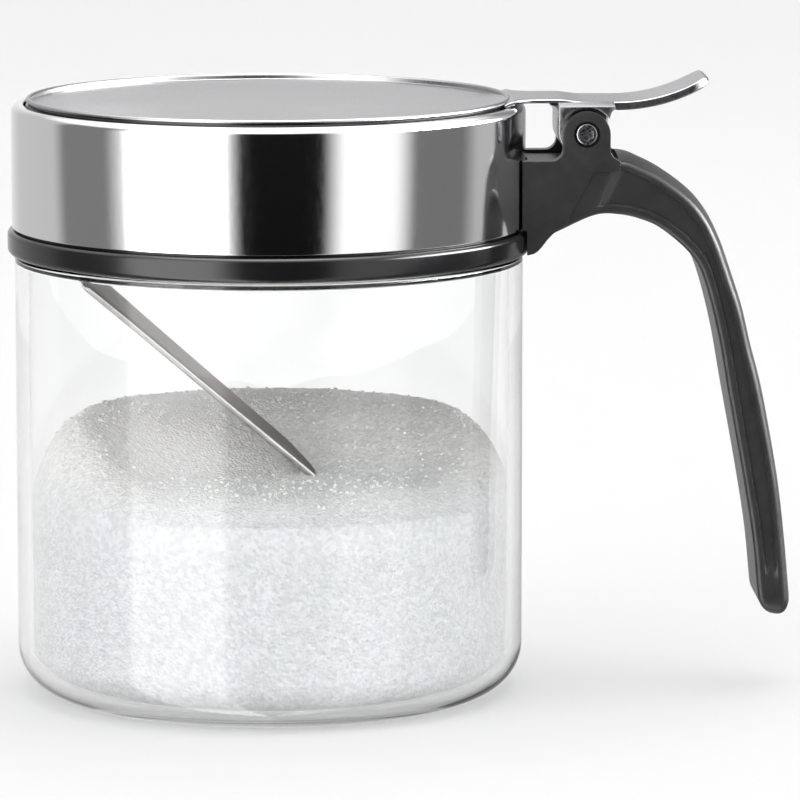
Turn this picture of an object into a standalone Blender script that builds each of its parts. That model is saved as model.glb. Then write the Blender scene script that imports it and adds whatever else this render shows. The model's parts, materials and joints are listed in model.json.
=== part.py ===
"""Spice jar: a glass jar with a screw cap, a flip lid on a hinge, a ladle on the lid and a hanging handle.

Metres, +Z up. The origin is the middle of the flat base, +X points to the handle, and the jar's axis is Z.
"""

import math

import bmesh
import bpy
from mathutils import Matrix, Vector

# Clearances
GAP = 0.0003
RUNNING_GAP = 0.0003
CUT_OVERRUN = 0.004

# Counts that set how fine the round forms are
TURN_STEPS = 52
SMALL_TURN_STEPS = 16
ARC_STEPS = 4
EDGE_STEPS = 2
HEEL_STEPS = 6
SMOOTH_ANGLE = math.radians(35)
SIDES = ((-1, "left"), (1, "right"))

# Glass jar
JAR_RADIUS = 0.0396
JAR_WALL = 0.0023
JAR_BASE = 0.0042
JAR_HEEL_RADIUS = 0.0075
JAR_INNER_HEEL_RADIUS = 0.0055
JAR_SHOULDER_HEIGHT = 0.0688
JAR_SHOULDER_RADIUS = 0.0012
SHOULDER_INSET = 0.0031
NECK_HEIGHT = 0.0172
NECK_WALL = 0.0020
NECK_RIM_RADIUS = 0.0007
THROAT_DROP = 0.0026

# Salt inside the jar
SALT_WALL_HEIGHT = 0.0352
SALT_CREST_HEIGHT = 0.0415
SALT_RING_SHARES = (0.3, 0.6, 0.76, 0.87, 0.95, 1.0)
SALT_FLAT_SHARE = 0.6
SALT_SHOULDER_POWER = 3
SALT_SWELL = 0.0006
SALT_SWELL_WAVES = 3

# Cap: the black collar with its ring, the steel band round it and the seal under its flange
CAP_WALL = 0.0035
RING_PROUD = 0.0007
RING_HEIGHT = 0.0038
RING_EDGE_RADIUS = 0.0009
BAND_SHEET = 0.0006
BAND_CORNER_RADIUS = 0.0011
BAND_LIP = 0.00195
SEAL_THICKNESS = 0.0010
COLLAR_FLANGE = 0.0012
COLLAR_BORE_STEP = 0.0005
LID_SEAT_DEPTH = 0.0036
THREAD_ROOM = 0.0015
COLLAR_THREAD_HEIGHT = 0.0100
COLLAR_SLEEVE_GAP = 0.0004
COLLAR_UPPER_WALL = 0.0009

# Hinge
HINGE_OUT = 0.0090
HINGE_DROP = 0.0046
PIN_RADIUS = 0.0013
PIN_HEAD_RADIUS = 0.00172
PIN_HEAD_THICKNESS = 0.0009
PIN_SOCKET_RADIUS = 0.0009
PIN_SOCKET_DEPTH = 0.0005
PIN_END_RADIUS = 0.0009
KNUCKLE_HALF_LENGTH = 0.00435
KNUCKLE_DROP = 0.0038
KNUCKLE_WIDTH = 0.0142
EAR_RADIUS = 0.00365
EAR_FILLET_RADIUS = 0.0018
EAR_HEIGHT = 0.0041
HOOD_ROOM = 0.00055
HOOD_STEP = 0.0001
HOOD_RISE = 0.0025

# Handle
BRACKET_WIDTH = 0.0200
BRACKET_FOOT_RISE = 0.0003
GRIP_START_WIDTH = 0.0196
GRIP_TIP_WIDTH = 0.0154
GRIP_REACH = 0.0326
GRIP_DROP = 0.0732
GRIP_CROWN = 0.0007
GRIP_OUTER_EDGE = 0.0012
GRIP_INNER_EDGE = 0.0008
GRIP_OUTER_RIM = 0.0007
GRIP_INNER_RIM = 0.0006
GRIP_PANEL_DEPTH = 0.0005
GRIP_PANEL_START = 2
GRIP_PANEL_STEP = 0.0002
GRIP_TIP_RADIUS = 0.0030
GRIP_TIP_STEPS = 4
GRIP_STATIONS = 26
# How far along the reach and down the drop each point of the two edge lines lies
OUTER_EDGE_SHARES = (
    (-0.012, 0.011), (0.160, 0.001), (0.265, 0.016), (0.380, 0.044), (0.498, 0.085), (0.575, 0.128),
    (0.635, 0.183), (0.684, 0.245), (0.741, 0.321), (0.785, 0.403), (0.844, 0.507), (0.920, 0.687),
    (0.957, 0.822), (0.984, 0.950),
)
INNER_EDGE_SHARES = (
    (-0.153, 0.137), (0.034, 0.127), (0.153, 0.125), (0.261, 0.128), (0.350, 0.149), (0.457, 0.184),
    (0.525, 0.217), (0.563, 0.254), (0.604, 0.317), (0.644, 0.395), (0.687, 0.504), (0.755, 0.668),
    (0.808, 0.812), (0.837, 0.938),
)
# The bracket's foot, underside and crease against the grip: shares of the run from the band to the hinge
# and of the rise from foot to ledge
BRACKET_SHARES = (
    (0.0, 0.0), (0.17, 0.04), (0.32, 0.16), (0.50, 0.265), (0.66, 0.33), (0.72, 0.42), (1.11, 0.88),
)

# Flip lid: disc, arm and thumb lever in one casting
LID_DISC_GAP = 0.00035
LID_RIM_PROUD = 0.00095
LID_RIM_HEIGHT = 0.0009
LID_RIM_WIDTH = 0.0009
LID_PANEL_THICKNESS = 0.00075
ARM_THICKNESS = 0.0006
ARM_WIDTH = 0.0144
ARM_FLARE = 0.0034
ARM_SAG = 0.0004
ARM_LAP = 0.0047
LEVER_THICKNESS = 0.0013
LEVER_RUN = 0.0050
LEVER_BEND_RADIUS = 0.0260
LEVER_BEND_ANGLE = math.radians(32)
LEVER_CORNER_RADIUS = 0.0030
LEVER_STEPS = 9
STRIP_EDGE = 0.0002
BOSS_RADIUS = 0.0028
BOSS_LENGTH = 0.0034

# Plug and its seal under the disc
PLUG_FLANGE_LAP = 0.0025
PLUG_BORE_GAP = 0.0014
PLUG_DEPTH = 0.0030
PLUG_CHAMFER = 0.0006
LID_SEAL_HEIGHT = 0.0015
LID_SEAL_DEPTH = 0.0010
LID_SEAL_RISE = 0.0010

# Ladle: a bent steel strip with a pressed bowl
STRIP_THICKNESS = 0.0010
FOOT_LENGTH = 0.0135
FOOT_HALF_WIDTH = 0.0085
LEG_INSET = 0.0060
LEG_DROP = 0.0033
LEG_HALF_WIDTH = 0.0095
SHANK_TOP_HALF_WIDTH = 0.0104
SHANK_END_HALF_WIDTH = 0.0056
BOWL_INSET = 0.0176
SHANK_ANGLE = math.radians(41.2)
STRIP_BEND_RADIUS = 0.0024
SHANK_LAP = 0.0030
BOWL_RADIUS = 0.0090
BOWL_DEPTH = 0.0072
BOWL_WALL = 0.0008
BOWL_RINGS = 5
BOWL_STEPS = 24

# Screws
SCREW_RADIUS = 0.00115
SCREW_HEAD_RADIUS = 0.0021
SCREW_HEAD_HEIGHT = 0.0010
SCREW_BITE = 0.0026
SCREW_SOCKET_RADIUS = 0.0010
SCREW_SOCKET_DEPTH = 0.0005
FOOT_SCREW_RUN = 0.0080
SPOON_SCREW_Y = 0.0050
PLUG_SCREW_INSET = 0.0106
HANDLE_SCREW_Y = 0.0052
HANDLE_SCREW_DROP = 0.0026
HANDLE_SCREW_LENGTH = 0.0090

# Sizes that follow from the ones above: the jar's neck
JAR_HEIGHT = JAR_SHOULDER_HEIGHT + NECK_HEIGHT
NECK_RADIUS = JAR_RADIUS - SHOULDER_INSET
NECK_BORE_RADIUS = NECK_RADIUS - NECK_WALL

# The cap on it, outwards and upwards
BAND_RADIUS = NECK_RADIUS + CAP_WALL
RING_RADIUS = BAND_RADIUS + RING_PROUD
RING_BOTTOM = JAR_SHOULDER_HEIGHT + GAP
RING_TOP = RING_BOTTOM + RING_HEIGHT
SEAL_BOTTOM = JAR_HEIGHT + GAP
FLANGE_BOTTOM = SEAL_BOTTOM + SEAL_THICKNESS + GAP
FLANGE_TOP = FLANGE_BOTTOM + COLLAR_FLANGE
BAND_TOP = FLANGE_TOP + LID_SEAT_DEPTH
COLLAR_BORE_RADIUS = NECK_BORE_RADIUS - COLLAR_BORE_STEP
COLLAR_THREAD_RADIUS = NECK_RADIUS + THREAD_ROOM
COLLAR_OUTER_RADIUS = BAND_RADIUS - BAND_SHEET - GAP
COLLAR_TOP = BAND_TOP - BAND_SHEET - GAP
COLLAR_SLEEVE_RADIUS = NECK_RADIUS + COLLAR_SLEEVE_GAP
LIP_RADIUS = BAND_RADIUS - BAND_LIP

# The lid in the band's lip, and its arm over the band
DISC_RADIUS = LIP_RADIUS - LID_DISC_GAP
LID_RIM_TOP = BAND_TOP + LID_RIM_PROUD
PANEL_TOP = LID_RIM_TOP - LID_RIM_HEIGHT
DISC_BOTTOM = PANEL_TOP - LID_PANEL_THICKNESS
ARM_BOTTOM = BAND_TOP + GAP
ARM_TOP = ARM_BOTTOM + ARM_THICKNESS
ARM_ROOT = DISC_RADIUS - ARM_LAP

# The hinge, and the bracket that carries it
HINGE_X = BAND_RADIUS + HINGE_OUT
HINGE_Z = ARM_BOTTOM - HINGE_DROP
LEDGE_Z = HINGE_Z - EAR_HEIGHT
SLOT_FLOOR = HINGE_Z - KNUCKLE_HALF_LENGTH - RUNNING_GAP
SLOT_WIDTH = KNUCKLE_WIDTH + 2 * RUNNING_GAP
LEVER_START = HINGE_X + LEVER_RUN
HANDLE_SCREW_Z = LEDGE_Z - HANDLE_SCREW_DROP

# The plug and the ladle under the lid
PLUG_TOP = DISC_BOTTOM - GAP
PLUG_FLANGE_RADIUS = COLLAR_BORE_RADIUS + PLUG_FLANGE_LAP
PLUG_FLANGE_BOTTOM = FLANGE_TOP + GAP
PLUG_RADIUS = COLLAR_BORE_RADIUS - PLUG_BORE_GAP
PLUG_BOTTOM = PLUG_FLANGE_BOTTOM - PLUG_DEPTH
PLUG_SCREW_X = PLUG_RADIUS - PLUG_SCREW_INSET
FOOT_TOP = PLUG_BOTTOM - GAP
LEG_X = LEG_INSET - NECK_BORE_RADIUS
LEG_BOTTOM = JAR_SHOULDER_HEIGHT - LEG_DROP
SHANK_LENGTH = (JAR_RADIUS - JAR_WALL - BOWL_INSET - LEG_X) / math.cos(SHANK_ANGLE)
SPOON_SCREW_X = LEG_X + FOOT_SCREW_RUN
HOLE_RADIUS = SCREW_RADIUS + GAP


def clear_scene():
    for thing in list(bpy.data.objects):
        bpy.data.objects.remove(thing, do_unlink=True)


def finish_material(name, colour, roughness, metallic=0.0, transmission=0.0):
    """A plain Principled material for one sub-part."""
    made = bpy.data.materials.new(name)
    made.use_nodes = True
    shader = made.node_tree.nodes["Principled BSDF"]
    shader.inputs["Base Color"].default_value = (*colour, 1.0)
    shader.inputs["Roughness"].default_value = roughness
    shader.inputs["Metallic"].default_value = metallic
    shader.inputs["Transmission Weight"].default_value = transmission
    made.diffuse_color = (*colour, 1.0)
    return made


def clear_glass():
    return finish_material("clear_glass", (0.95, 0.97, 0.97), 0.02, transmission=1.0)


def white_salt():
    return finish_material("white_salt", (0.83, 0.84, 0.85), 0.75)


def polished_steel():
    return finish_material("polished_steel", (0.72, 0.72, 0.73), 0.14, metallic=1.0)


def satin_metal():
    return finish_material("satin_metal", (0.56, 0.56, 0.58), 0.34, metallic=1.0)


def screw_steel():
    return finish_material("screw_steel", (0.5, 0.5, 0.5), 0.3, metallic=1.0)


def gloss_black():
    return finish_material("gloss_black", (0.012, 0.012, 0.013), 0.25)


def grained_black():
    return finish_material("grained_black", (0.055, 0.055, 0.057), 0.55)


def seal_silicone():
    return finish_material("seal_silicone", (0.72, 0.73, 0.74), 0.5)


def object_from(name, shape, material=None, parent=None):
    """Makes an object of a bmesh. A parent keeps the object where its mesh already is."""
    bmesh.ops.remove_doubles(shape, verts=shape.verts, dist=1e-7)
    bmesh.ops.recalc_face_normals(shape, faces=shape.faces)
    mesh = bpy.data.meshes.new(name)
    shape.to_mesh(mesh)
    shape.free()
    mesh.shade_smooth()
    mesh.set_sharp_from_angle(angle=SMOOTH_ANGLE)
    made = bpy.data.objects.new(name, mesh)
    bpy.context.scene.collection.objects.link(made)
    if material:
        mesh.materials.append(material)
    if parent:
        made.parent = parent
        made.matrix_parent_inverse = parent.matrix_world.inverted()
    return made


def pivot(name, place, parent=None):
    """An empty on a joint's axis, which carries what moves on that joint."""
    made = bpy.data.objects.new(name, None)
    bpy.context.scene.collection.objects.link(made)
    made.location = place
    bpy.context.view_layer.update()
    if parent:
        made.parent = parent
        made.matrix_parent_inverse = parent.matrix_world.inverted()
        bpy.context.view_layer.update()
    return made


def helper(thing):
    thing.hide_render = True
    thing.display_type = "WIRE"
    return thing


def combine(target, other, operation):
    """A live Boolean with a helper object."""
    modifier = target.modifiers.new(other.name, "BOOLEAN")
    modifier.operation = operation
    modifier.object = helper(other)
    modifier.solver = "EXACT"


def cut(target, *cutters):
    for cutter in cutters:
        combine(target, cutter, "DIFFERENCE")


def join(target, *others):
    for other in others:
        combine(target, other, "UNION")


def arc(centre_x, centre_z, radius, start, end, steps=ARC_STEPS):
    """Points on an arc, angles in degrees from +X towards +Z."""
    turned = [math.radians(start + (end - start) * i / steps) for i in range(steps + 1)]
    return [(centre_x + radius * math.cos(a), centre_z + radius * math.sin(a)) for a in turned]


def turned_shape(profile, steps=TURN_STEPS):
    """Spins a profile of (radius, height) round Z. Its ends may lie on the axis, or it closes on itself."""
    shape = bmesh.new()
    verts = [shape.verts.new((r, 0, z)) for r, z in profile]
    edges = [shape.edges.new(pair) for pair in zip(verts, verts[1:])]
    if profile[0][0] > 0:
        edges.append(shape.edges.new((verts[-1], verts[0])))
    bmesh.ops.spin(
        shape,
        geom=verts + edges,
        cent=(0, 0, 0),
        axis=(0, 0, 1),
        angle=math.tau,
        steps=steps,
        use_merge=True,
    )
    bmesh.ops.remove_doubles(shape, verts=shape.verts, dist=1e-6)
    return shape


def prism_shape(outline, half_width):
    """An outline of (x, z) points, extruded along Y to both sides of the middle."""
    shape = bmesh.new()
    face = shape.faces.new([shape.verts.new((x, -half_width, z)) for x, z in outline])
    grown = bmesh.ops.extrude_face_region(shape, geom=[face])
    moved = [v for v in grown["geom"] if isinstance(v, bmesh.types.BMVert)]
    bmesh.ops.translate(shape, verts=moved, vec=(0, 2 * half_width, 0))
    return shape


def loft_shape(sections):
    """Skins closed rings of points that have the same count, with a cap at each end."""
    shape = bmesh.new()
    rings = [[shape.verts.new(point) for point in section] for section in sections]
    count = len(rings[0])
    for low, high in zip(rings, rings[1:]):
        for i in range(count):
            j = (i + 1) % count
            shape.faces.new((low[i], low[j], high[j], high[i]))
    shape.faces.new(reversed(rings[0]))
    shape.faces.new(rings[-1])
    return shape


def rod_shape(radius, start, end, steps=SMALL_TURN_STEPS):
    """A cylinder between two points on its axis."""
    start, end = Vector(start), Vector(end)
    along = end - start
    shape = bmesh.new()
    bmesh.ops.create_cone(
        shape, cap_ends=True, segments=steps, radius1=radius, radius2=radius, depth=along.length
    )
    turn = along.to_track_quat("Z", "Y").to_matrix().to_4x4()
    bmesh.ops.transform(shape, matrix=Matrix.Translation((start + end) / 2) @ turn, verts=shape.verts)
    return shape


def box_shape(low, high):
    low, high = Vector(low), Vector(high)
    shape = bmesh.new()
    bmesh.ops.create_cube(shape, size=1)
    scale = Matrix.Diagonal((*(high - low), 1))
    bmesh.ops.transform(shape, matrix=Matrix.Translation((low + high) / 2) @ scale, verts=shape.verts)
    return shape


def smooth_line(points, count):
    """Evenly numbered points on a Catmull-Rom curve through the given (x, z) points."""
    ends = [2 * Vector(points[0]) - Vector(points[1]), 2 * Vector(points[-1]) - Vector(points[-2])]
    way = [ends[0], *map(Vector, points), ends[1]]
    spans = len(points) - 1
    line = []
    for i in range(count):
        place = i * spans / (count - 1)
        span = min(int(place), spans - 1)
        t = place - span
        a, b, c, d = way[span : span + 4]
        line.append(
            (2 * b + (c - a) * t + (2 * a - 5 * b + 4 * c - d) * t**2 + (3 * b - a - 3 * c + d) * t**3) / 2
        )
    return line


def flat_section(place, normal, half_width, thickness, edge=STRIP_EDGE):
    """A ring round a flat strip whose middle is at place (x, z), with small edge bevels."""
    half = thickness / 2
    edge = min(edge, half / 2)
    ring = [
        (half - edge, -half_width), (half, edge - half_width), (half, half_width - edge),
        (half - edge, half_width), (edge - half, half_width), (-half, half_width - edge),
        (-half, edge - half_width), (edge - half, -half_width),
    ]
    return [(place.x + normal.x * n, y, place.y + normal.y * n) for n, y in ring]


def strip_shape(path, half_widths, thicknesses, edge=STRIP_EDGE):
    """A flat strip along a path of (x, z) points. Each point has its half width and thickness."""
    sections = []
    for i, place in enumerate(path):
        before, after = path[max(i - 1, 0)], path[min(i + 1, len(path) - 1)]
        way = (after - before).normalized()
        normal = Vector((-way.y, way.x))
        sections.append(flat_section(place, normal, half_widths[i], thicknesses[i], edge))
    return loft_shape(sections)


def glass_jar(parent):
    """Pressed glass body with a rounded heel, a tight shoulder and a plain neck for the cap."""
    inner = JAR_RADIUS - JAR_WALL
    throat = JAR_SHOULDER_HEIGHT - JAR_WALL
    rim = JAR_HEIGHT - NECK_RIM_RADIUS
    profile = [(0, 0)]
    profile += arc(JAR_RADIUS - JAR_HEEL_RADIUS, JAR_HEEL_RADIUS, JAR_HEEL_RADIUS, -90, 0, HEEL_STEPS)
    shoulder = JAR_SHOULDER_RADIUS
    profile += arc(JAR_RADIUS - shoulder, JAR_SHOULDER_HEIGHT - shoulder, shoulder, 0, 90, EDGE_STEPS)
    profile += [(NECK_RADIUS, JAR_SHOULDER_HEIGHT)]
    profile += arc(NECK_RADIUS - NECK_RIM_RADIUS, rim, NECK_RIM_RADIUS, 0, 90, EDGE_STEPS)
    profile += arc(NECK_BORE_RADIUS + NECK_RIM_RADIUS, rim, NECK_RIM_RADIUS, 90, 180, EDGE_STEPS)
    profile += [(NECK_BORE_RADIUS, throat), (inner, throat - THROAT_DROP)]
    heel = JAR_INNER_HEEL_RADIUS
    profile += arc(inner - heel, JAR_BASE + heel, heel, 0, -90)
    profile += [(0, JAR_BASE)]
    return object_from("glass_jar", turned_shape(profile), clear_glass(), parent)


def salt_height(share, turn):
    """The salt's surface: flat in the middle, swelling a little, and falling at the wall."""
    fall = max(0, (share - SALT_FLAT_SHARE) / (1 - SALT_FLAT_SHARE)) ** SALT_SHOULDER_POWER
    swell = SALT_SWELL * math.sin(SALT_SWELL_WAVES * turn) * math.sin(math.pi * share)
    return SALT_CREST_HEIGHT - (SALT_CREST_HEIGHT - SALT_WALL_HEIGHT) * fall + swell


def salt_fill(parent):
    """The heap of salt in the jar, with a pocket that the ladle stands in."""
    radius = JAR_RADIUS - JAR_WALL - GAP
    heel = JAR_INNER_HEEL_RADIUS - GAP
    floor = JAR_BASE + GAP
    shape = bmesh.new()
    wall = [(radius - heel, floor), *arc(radius - heel, floor + heel, heel, -90, 0, EDGE_STEPS)[1:]]
    rings = [[(r, a) for a in range(TURN_STEPS)] for r, _ in wall]
    levels = [lambda turn, z=z: z for _, z in wall]
    for share in reversed(SALT_RING_SHARES):
        rings.append([(radius * share, a) for a in range(TURN_STEPS)])
        levels.append(lambda turn, share=share: salt_height(share, turn))
    loops = []
    for ring, level in zip(rings, levels):
        turns = [(r, math.tau * a / TURN_STEPS) for r, a in ring]
        loops.append([shape.verts.new((r * math.cos(t), r * math.sin(t), level(t))) for r, t in turns])
    for low, high in zip(loops, loops[1:]):
        for i in range(TURN_STEPS):
            j = (i + 1) % TURN_STEPS
            shape.faces.new((low[i], low[j], high[j], high[i]))
    bottom = shape.verts.new((0, 0, floor))
    top = shape.verts.new((0, 0, salt_height(0, 0)))
    for i in range(TURN_STEPS):
        j = (i + 1) % TURN_STEPS
        shape.faces.new((bottom, loops[0][j], loops[0][i]))
        shape.faces.new((top, loops[-1][i], loops[-1][j]))
    salt = object_from("salt_fill", shape, white_salt(), parent)
    cut(
        salt,
        object_from("salt_strip_pocket", shank_shape(GAP), parent=parent),
        object_from("salt_bowl_pocket", bowl_shape(GAP, hollow=False), parent=parent),
    )
    return salt


def rim_gasket(parent):
    """Flat seal between the glass rim and the flange inside the cap."""
    top = SEAL_BOTTOM + SEAL_THICKNESS
    profile = [
        (NECK_BORE_RADIUS, SEAL_BOTTOM), (NECK_RADIUS, SEAL_BOTTOM), (NECK_RADIUS, top), (NECK_BORE_RADIUS, top)
    ]
    return object_from("rim_gasket", turned_shape(profile), seal_silicone(), parent)


def collar(parent):
    """Black cap body: the ring that shows, the sleeve for the neck, the flange over its rim and the lid's seat."""
    edge = RING_EDGE_RADIUS
    thread_top = RING_BOTTOM + COLLAR_THREAD_HEIGHT
    seat_radius = COLLAR_OUTER_RADIUS - COLLAR_UPPER_WALL
    profile = [(COLLAR_THREAD_RADIUS, RING_BOTTOM)]
    profile += arc(RING_RADIUS - edge, RING_BOTTOM + edge, edge, -90, 0, EDGE_STEPS)
    profile += arc(RING_RADIUS - edge, RING_TOP - edge, edge, 0, 90, EDGE_STEPS)
    profile += [
        (COLLAR_OUTER_RADIUS, RING_TOP),
        (COLLAR_OUTER_RADIUS, COLLAR_TOP),
        (seat_radius, COLLAR_TOP),
        (seat_radius, FLANGE_TOP),
        (COLLAR_BORE_RADIUS, FLANGE_TOP),
        (COLLAR_BORE_RADIUS, FLANGE_BOTTOM),
        (COLLAR_SLEEVE_RADIUS, FLANGE_BOTTOM),
        (COLLAR_SLEEVE_RADIUS, thread_top),
        (COLLAR_THREAD_RADIUS, thread_top),
    ]
    made = object_from("collar", turned_shape(profile), gloss_black(), parent)
    cut(made, *handle_screw_holes("collar", parent, with_heads=True))
    return made


def steel_band(parent):
    """Polished sheet wrapped round the collar, with its top edge turned in as a lip."""
    corner = BAND_CORNER_RADIUS
    inner = BAND_RADIUS - BAND_SHEET
    bottom = RING_TOP + GAP
    profile = [(inner, bottom), (BAND_RADIUS, bottom)]
    profile += arc(BAND_RADIUS - corner, BAND_TOP - corner, corner, 0, 90, EDGE_STEPS)
    profile += [(LIP_RADIUS, BAND_TOP), (LIP_RADIUS, BAND_TOP - BAND_SHEET)]
    profile += arc(BAND_RADIUS - corner, BAND_TOP - corner, corner - BAND_SHEET, 90, 0, EDGE_STEPS)
    made = object_from("steel_band", turned_shape(profile), polished_steel(), parent)
    cut(made, *handle_screw_holes("band", parent, with_heads=False))
    return made


def handle_screw_seat():
    """Where the flat of the screw head lies, clear of the neck at the head's inner edge."""
    near_middle = HANDLE_SCREW_Y - SCREW_HEAD_RADIUS
    return math.sqrt((NECK_RADIUS + GAP) ** 2 - near_middle**2)


def handle_screw_holes(owner, parent, with_heads):
    """Cutters for the two screws that hold the handle, with the pockets for their heads."""
    made = []
    seat = handle_screw_seat()
    for side, hand in SIDES:
        y = side * HANDLE_SCREW_Y
        end = seat + SCREW_HEAD_HEIGHT + HANDLE_SCREW_LENGTH + GAP
        hole = rod_shape(HOLE_RADIUS, (seat, y, HANDLE_SCREW_Z), (end, y, HANDLE_SCREW_Z))
        made.append(object_from(f"{owner}_screw_hole_{hand}", hole, parent=parent))
        if with_heads:
            head = rod_shape(
                SCREW_HEAD_RADIUS + GAP,
                (seat - CUT_OVERRUN, y, HANDLE_SCREW_Z),
                (seat + SCREW_HEAD_HEIGHT + GAP, y, HANDLE_SCREW_Z),
            )
            made.append(object_from(f"{owner}_screw_head_{hand}", head, parent=parent))
    return made


def bracket_outline():
    """Side view of the bracket: foot, crease, ledge and the round-topped ear, as (x, z) points."""
    foot_z = RING_BOTTOM + BRACKET_FOOT_RISE
    run = HINGE_X - BAND_RADIUS
    rise = LEDGE_Z - foot_z
    start = BAND_RADIUS - CUT_OVERRUN
    grip = outer_edge_points()
    fillet = EAR_FILLET_RADIUS
    ear_left, ear_right = HINGE_X - EAR_RADIUS, HINGE_X + EAR_RADIUS
    outline = [(start, foot_z)]
    outline += [(BAND_RADIUS + run * across, foot_z + rise * up) for across, up in BRACKET_SHARES]
    outline += [(grip[1][0], LEDGE_Z - fillet), (grip[1][0], LEDGE_Z)]
    outline += arc(ear_right + fillet, LEDGE_Z + fillet, fillet, 260, 180)
    outline += arc(HINGE_X, HINGE_Z, EAR_RADIUS, 0, 180, 3 * ARC_STEPS)
    outline += arc(ear_left - fillet, LEDGE_Z + fillet, fillet, 0, -90)
    outline += [(start, LEDGE_Z)]
    return outline


def outer_edge_points():
    return [(HINGE_X + GRIP_REACH * across, LEDGE_Z - GRIP_DROP * down) for across, down in OUTER_EDGE_SHARES]


def inner_edge_points():
    return [(HINGE_X + GRIP_REACH * across, LEDGE_Z - GRIP_DROP * down) for across, down in INNER_EDGE_SHARES]


def grip_section(outer, inner, half_width, panel_depth, shrink=1.0):
    """A ring round the grip: crowned outside, rounded edges, and a sunk panel on each side."""
    across = outer - inner
    thickness = across.length
    normal = across / thickness
    outer_edge = min(GRIP_OUTER_EDGE * shrink, thickness / 3)
    inner_edge = min(GRIP_INNER_EDGE * shrink, thickness / 4)
    face = thickness - outer_edge - inner_edge
    rim_low = inner_edge + min(GRIP_INNER_RIM, face / 3)
    rim_high = thickness - outer_edge - min(GRIP_OUTER_RIM, face / 3)
    step = min(GRIP_PANEL_STEP, (rim_high - rim_low) / 4)
    crown = GRIP_CROWN * shrink
    corner = 1 - math.sqrt(1 / 2)
    side = [
        (0, half_width - inner_edge), (inner_edge * corner, half_width - inner_edge * corner),
        (inner_edge, half_width), (rim_low, half_width), (rim_low + step, half_width - panel_depth),
        (rim_high - step, half_width - panel_depth), (rim_high, half_width),
        (thickness - outer_edge, half_width),
        (thickness - outer_edge * corner, half_width - outer_edge * corner),
        (thickness, half_width - outer_edge), (thickness + crown * 2 / 3, half_width / 2), (thickness + crown, 0),
    ]
    ring = side + [(n, -y) for n, y in reversed(side[:-1])]
    return [(inner.x + normal.x * n, y, inner.y + normal.y * n) for n, y in ring]


def grip_shape():
    """The hanging grip, lofted from the bracket to its rounded tip."""
    outer = smooth_line(outer_edge_points(), GRIP_STATIONS)
    inner = smooth_line(inner_edge_points(), GRIP_STATIONS)
    last = GRIP_STATIONS - 1
    start, end = GRIP_START_WIDTH / 2, GRIP_TIP_WIDTH / 2
    sections = []
    for i in range(GRIP_STATIONS):
        half_width = start + (end - start) * i / last
        sunk = GRIP_PANEL_DEPTH if GRIP_PANEL_START <= i < last else 0
        sections.append(grip_section(outer[i], inner[i], half_width, sunk))
    middle = (outer[last] + inner[last]) / 2
    half = (outer[last] - inner[last]) / 2
    way = (outer[last] + inner[last] - outer[last - 1] - inner[last - 1]).normalized()
    for i in range(1, GRIP_TIP_STEPS + 1):
        turn = math.pi / 2 * i / (GRIP_TIP_STEPS + 1)
        shrink = math.cos(turn)
        place = middle + way * GRIP_TIP_RADIUS * math.sin(turn)
        half_width = end - GRIP_TIP_RADIUS * (1 - shrink)
        sections.append(grip_section(place + half * shrink, place - half * shrink, half_width, 0, shrink))
    return loft_shape(sections)


def handle(parent):
    """Bracket with two hinge ears, and the grip that hangs from it, moulded in one piece."""
    made = object_from("handle", prism_shape(bracket_outline(), BRACKET_WIDTH / 2), grained_black(), parent)
    join(made, object_from("handle_grip", grip_shape(), parent=parent))
    slot = box_shape(
        (BAND_RADIUS - CUT_OVERRUN, -SLOT_WIDTH / 2, SLOT_FLOOR),
        (HINGE_X + EAR_RADIUS + EAR_FILLET_RADIUS, SLOT_WIDTH / 2, BAND_TOP + CUT_OVERRUN),
    )
    above_ring = rod_shape(BAND_RADIUS + GAP, (0, 0, 0), (0, 0, BAND_TOP + CUT_OVERRUN), TURN_STEPS)
    round_ring = rod_shape(RING_RADIUS + GAP, (0, 0, 0), (0, 0, RING_TOP + GAP), TURN_STEPS)
    half = BRACKET_WIDTH / 2
    head_depth = PIN_HEAD_THICKNESS + RUNNING_GAP
    bore = rod_shape(
        PIN_RADIUS + RUNNING_GAP, (HINGE_X, -half - CUT_OVERRUN, HINGE_Z), (HINGE_X, half + CUT_OVERRUN, HINGE_Z)
    )
    cut(
        made,
        object_from("handle_slot", slot, parent=parent),
        object_from("handle_saddle", above_ring, parent=parent),
        object_from("handle_ring_seat", round_ring, parent=parent),
        object_from("handle_pin_bore", bore, parent=parent),
    )
    for side, hand in SIDES:
        head = rod_shape(
            PIN_HEAD_RADIUS + RUNNING_GAP,
            (HINGE_X, side * (half - head_depth), HINGE_Z),
            (HINGE_X, side * (half + CUT_OVERRUN), HINGE_Z),
        )
        cut(made, object_from(f"handle_pin_head_{hand}", head, parent=parent))
    cut(made, *handle_screw_holes("handle", parent, with_heads=False))
    return made


def screw_shape(length, radius=SCREW_RADIUS):
    """A screw along Z with its head's top at the origin, pointing to +Z, with a round drive recess."""
    profile = [
        (0, SCREW_SOCKET_DEPTH),
        (SCREW_SOCKET_RADIUS, SCREW_SOCKET_DEPTH),
        (SCREW_SOCKET_RADIUS, 0),
        (SCREW_HEAD_RADIUS, 0),
        (SCREW_HEAD_RADIUS, SCREW_HEAD_HEIGHT),
        (radius, SCREW_HEAD_HEIGHT),
        (radius, SCREW_HEAD_HEIGHT + length),
        (0, SCREW_HEAD_HEIGHT + length),
    ]
    return turned_shape(profile, SMALL_TURN_STEPS)


def place_screw(name, length, place, rotation, parent):
    made = object_from(name, screw_shape(length), screw_steel())
    made.location = place
    made.rotation_euler = rotation
    made.parent = parent
    made.matrix_parent_inverse = parent.matrix_world.inverted()
    return made


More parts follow.
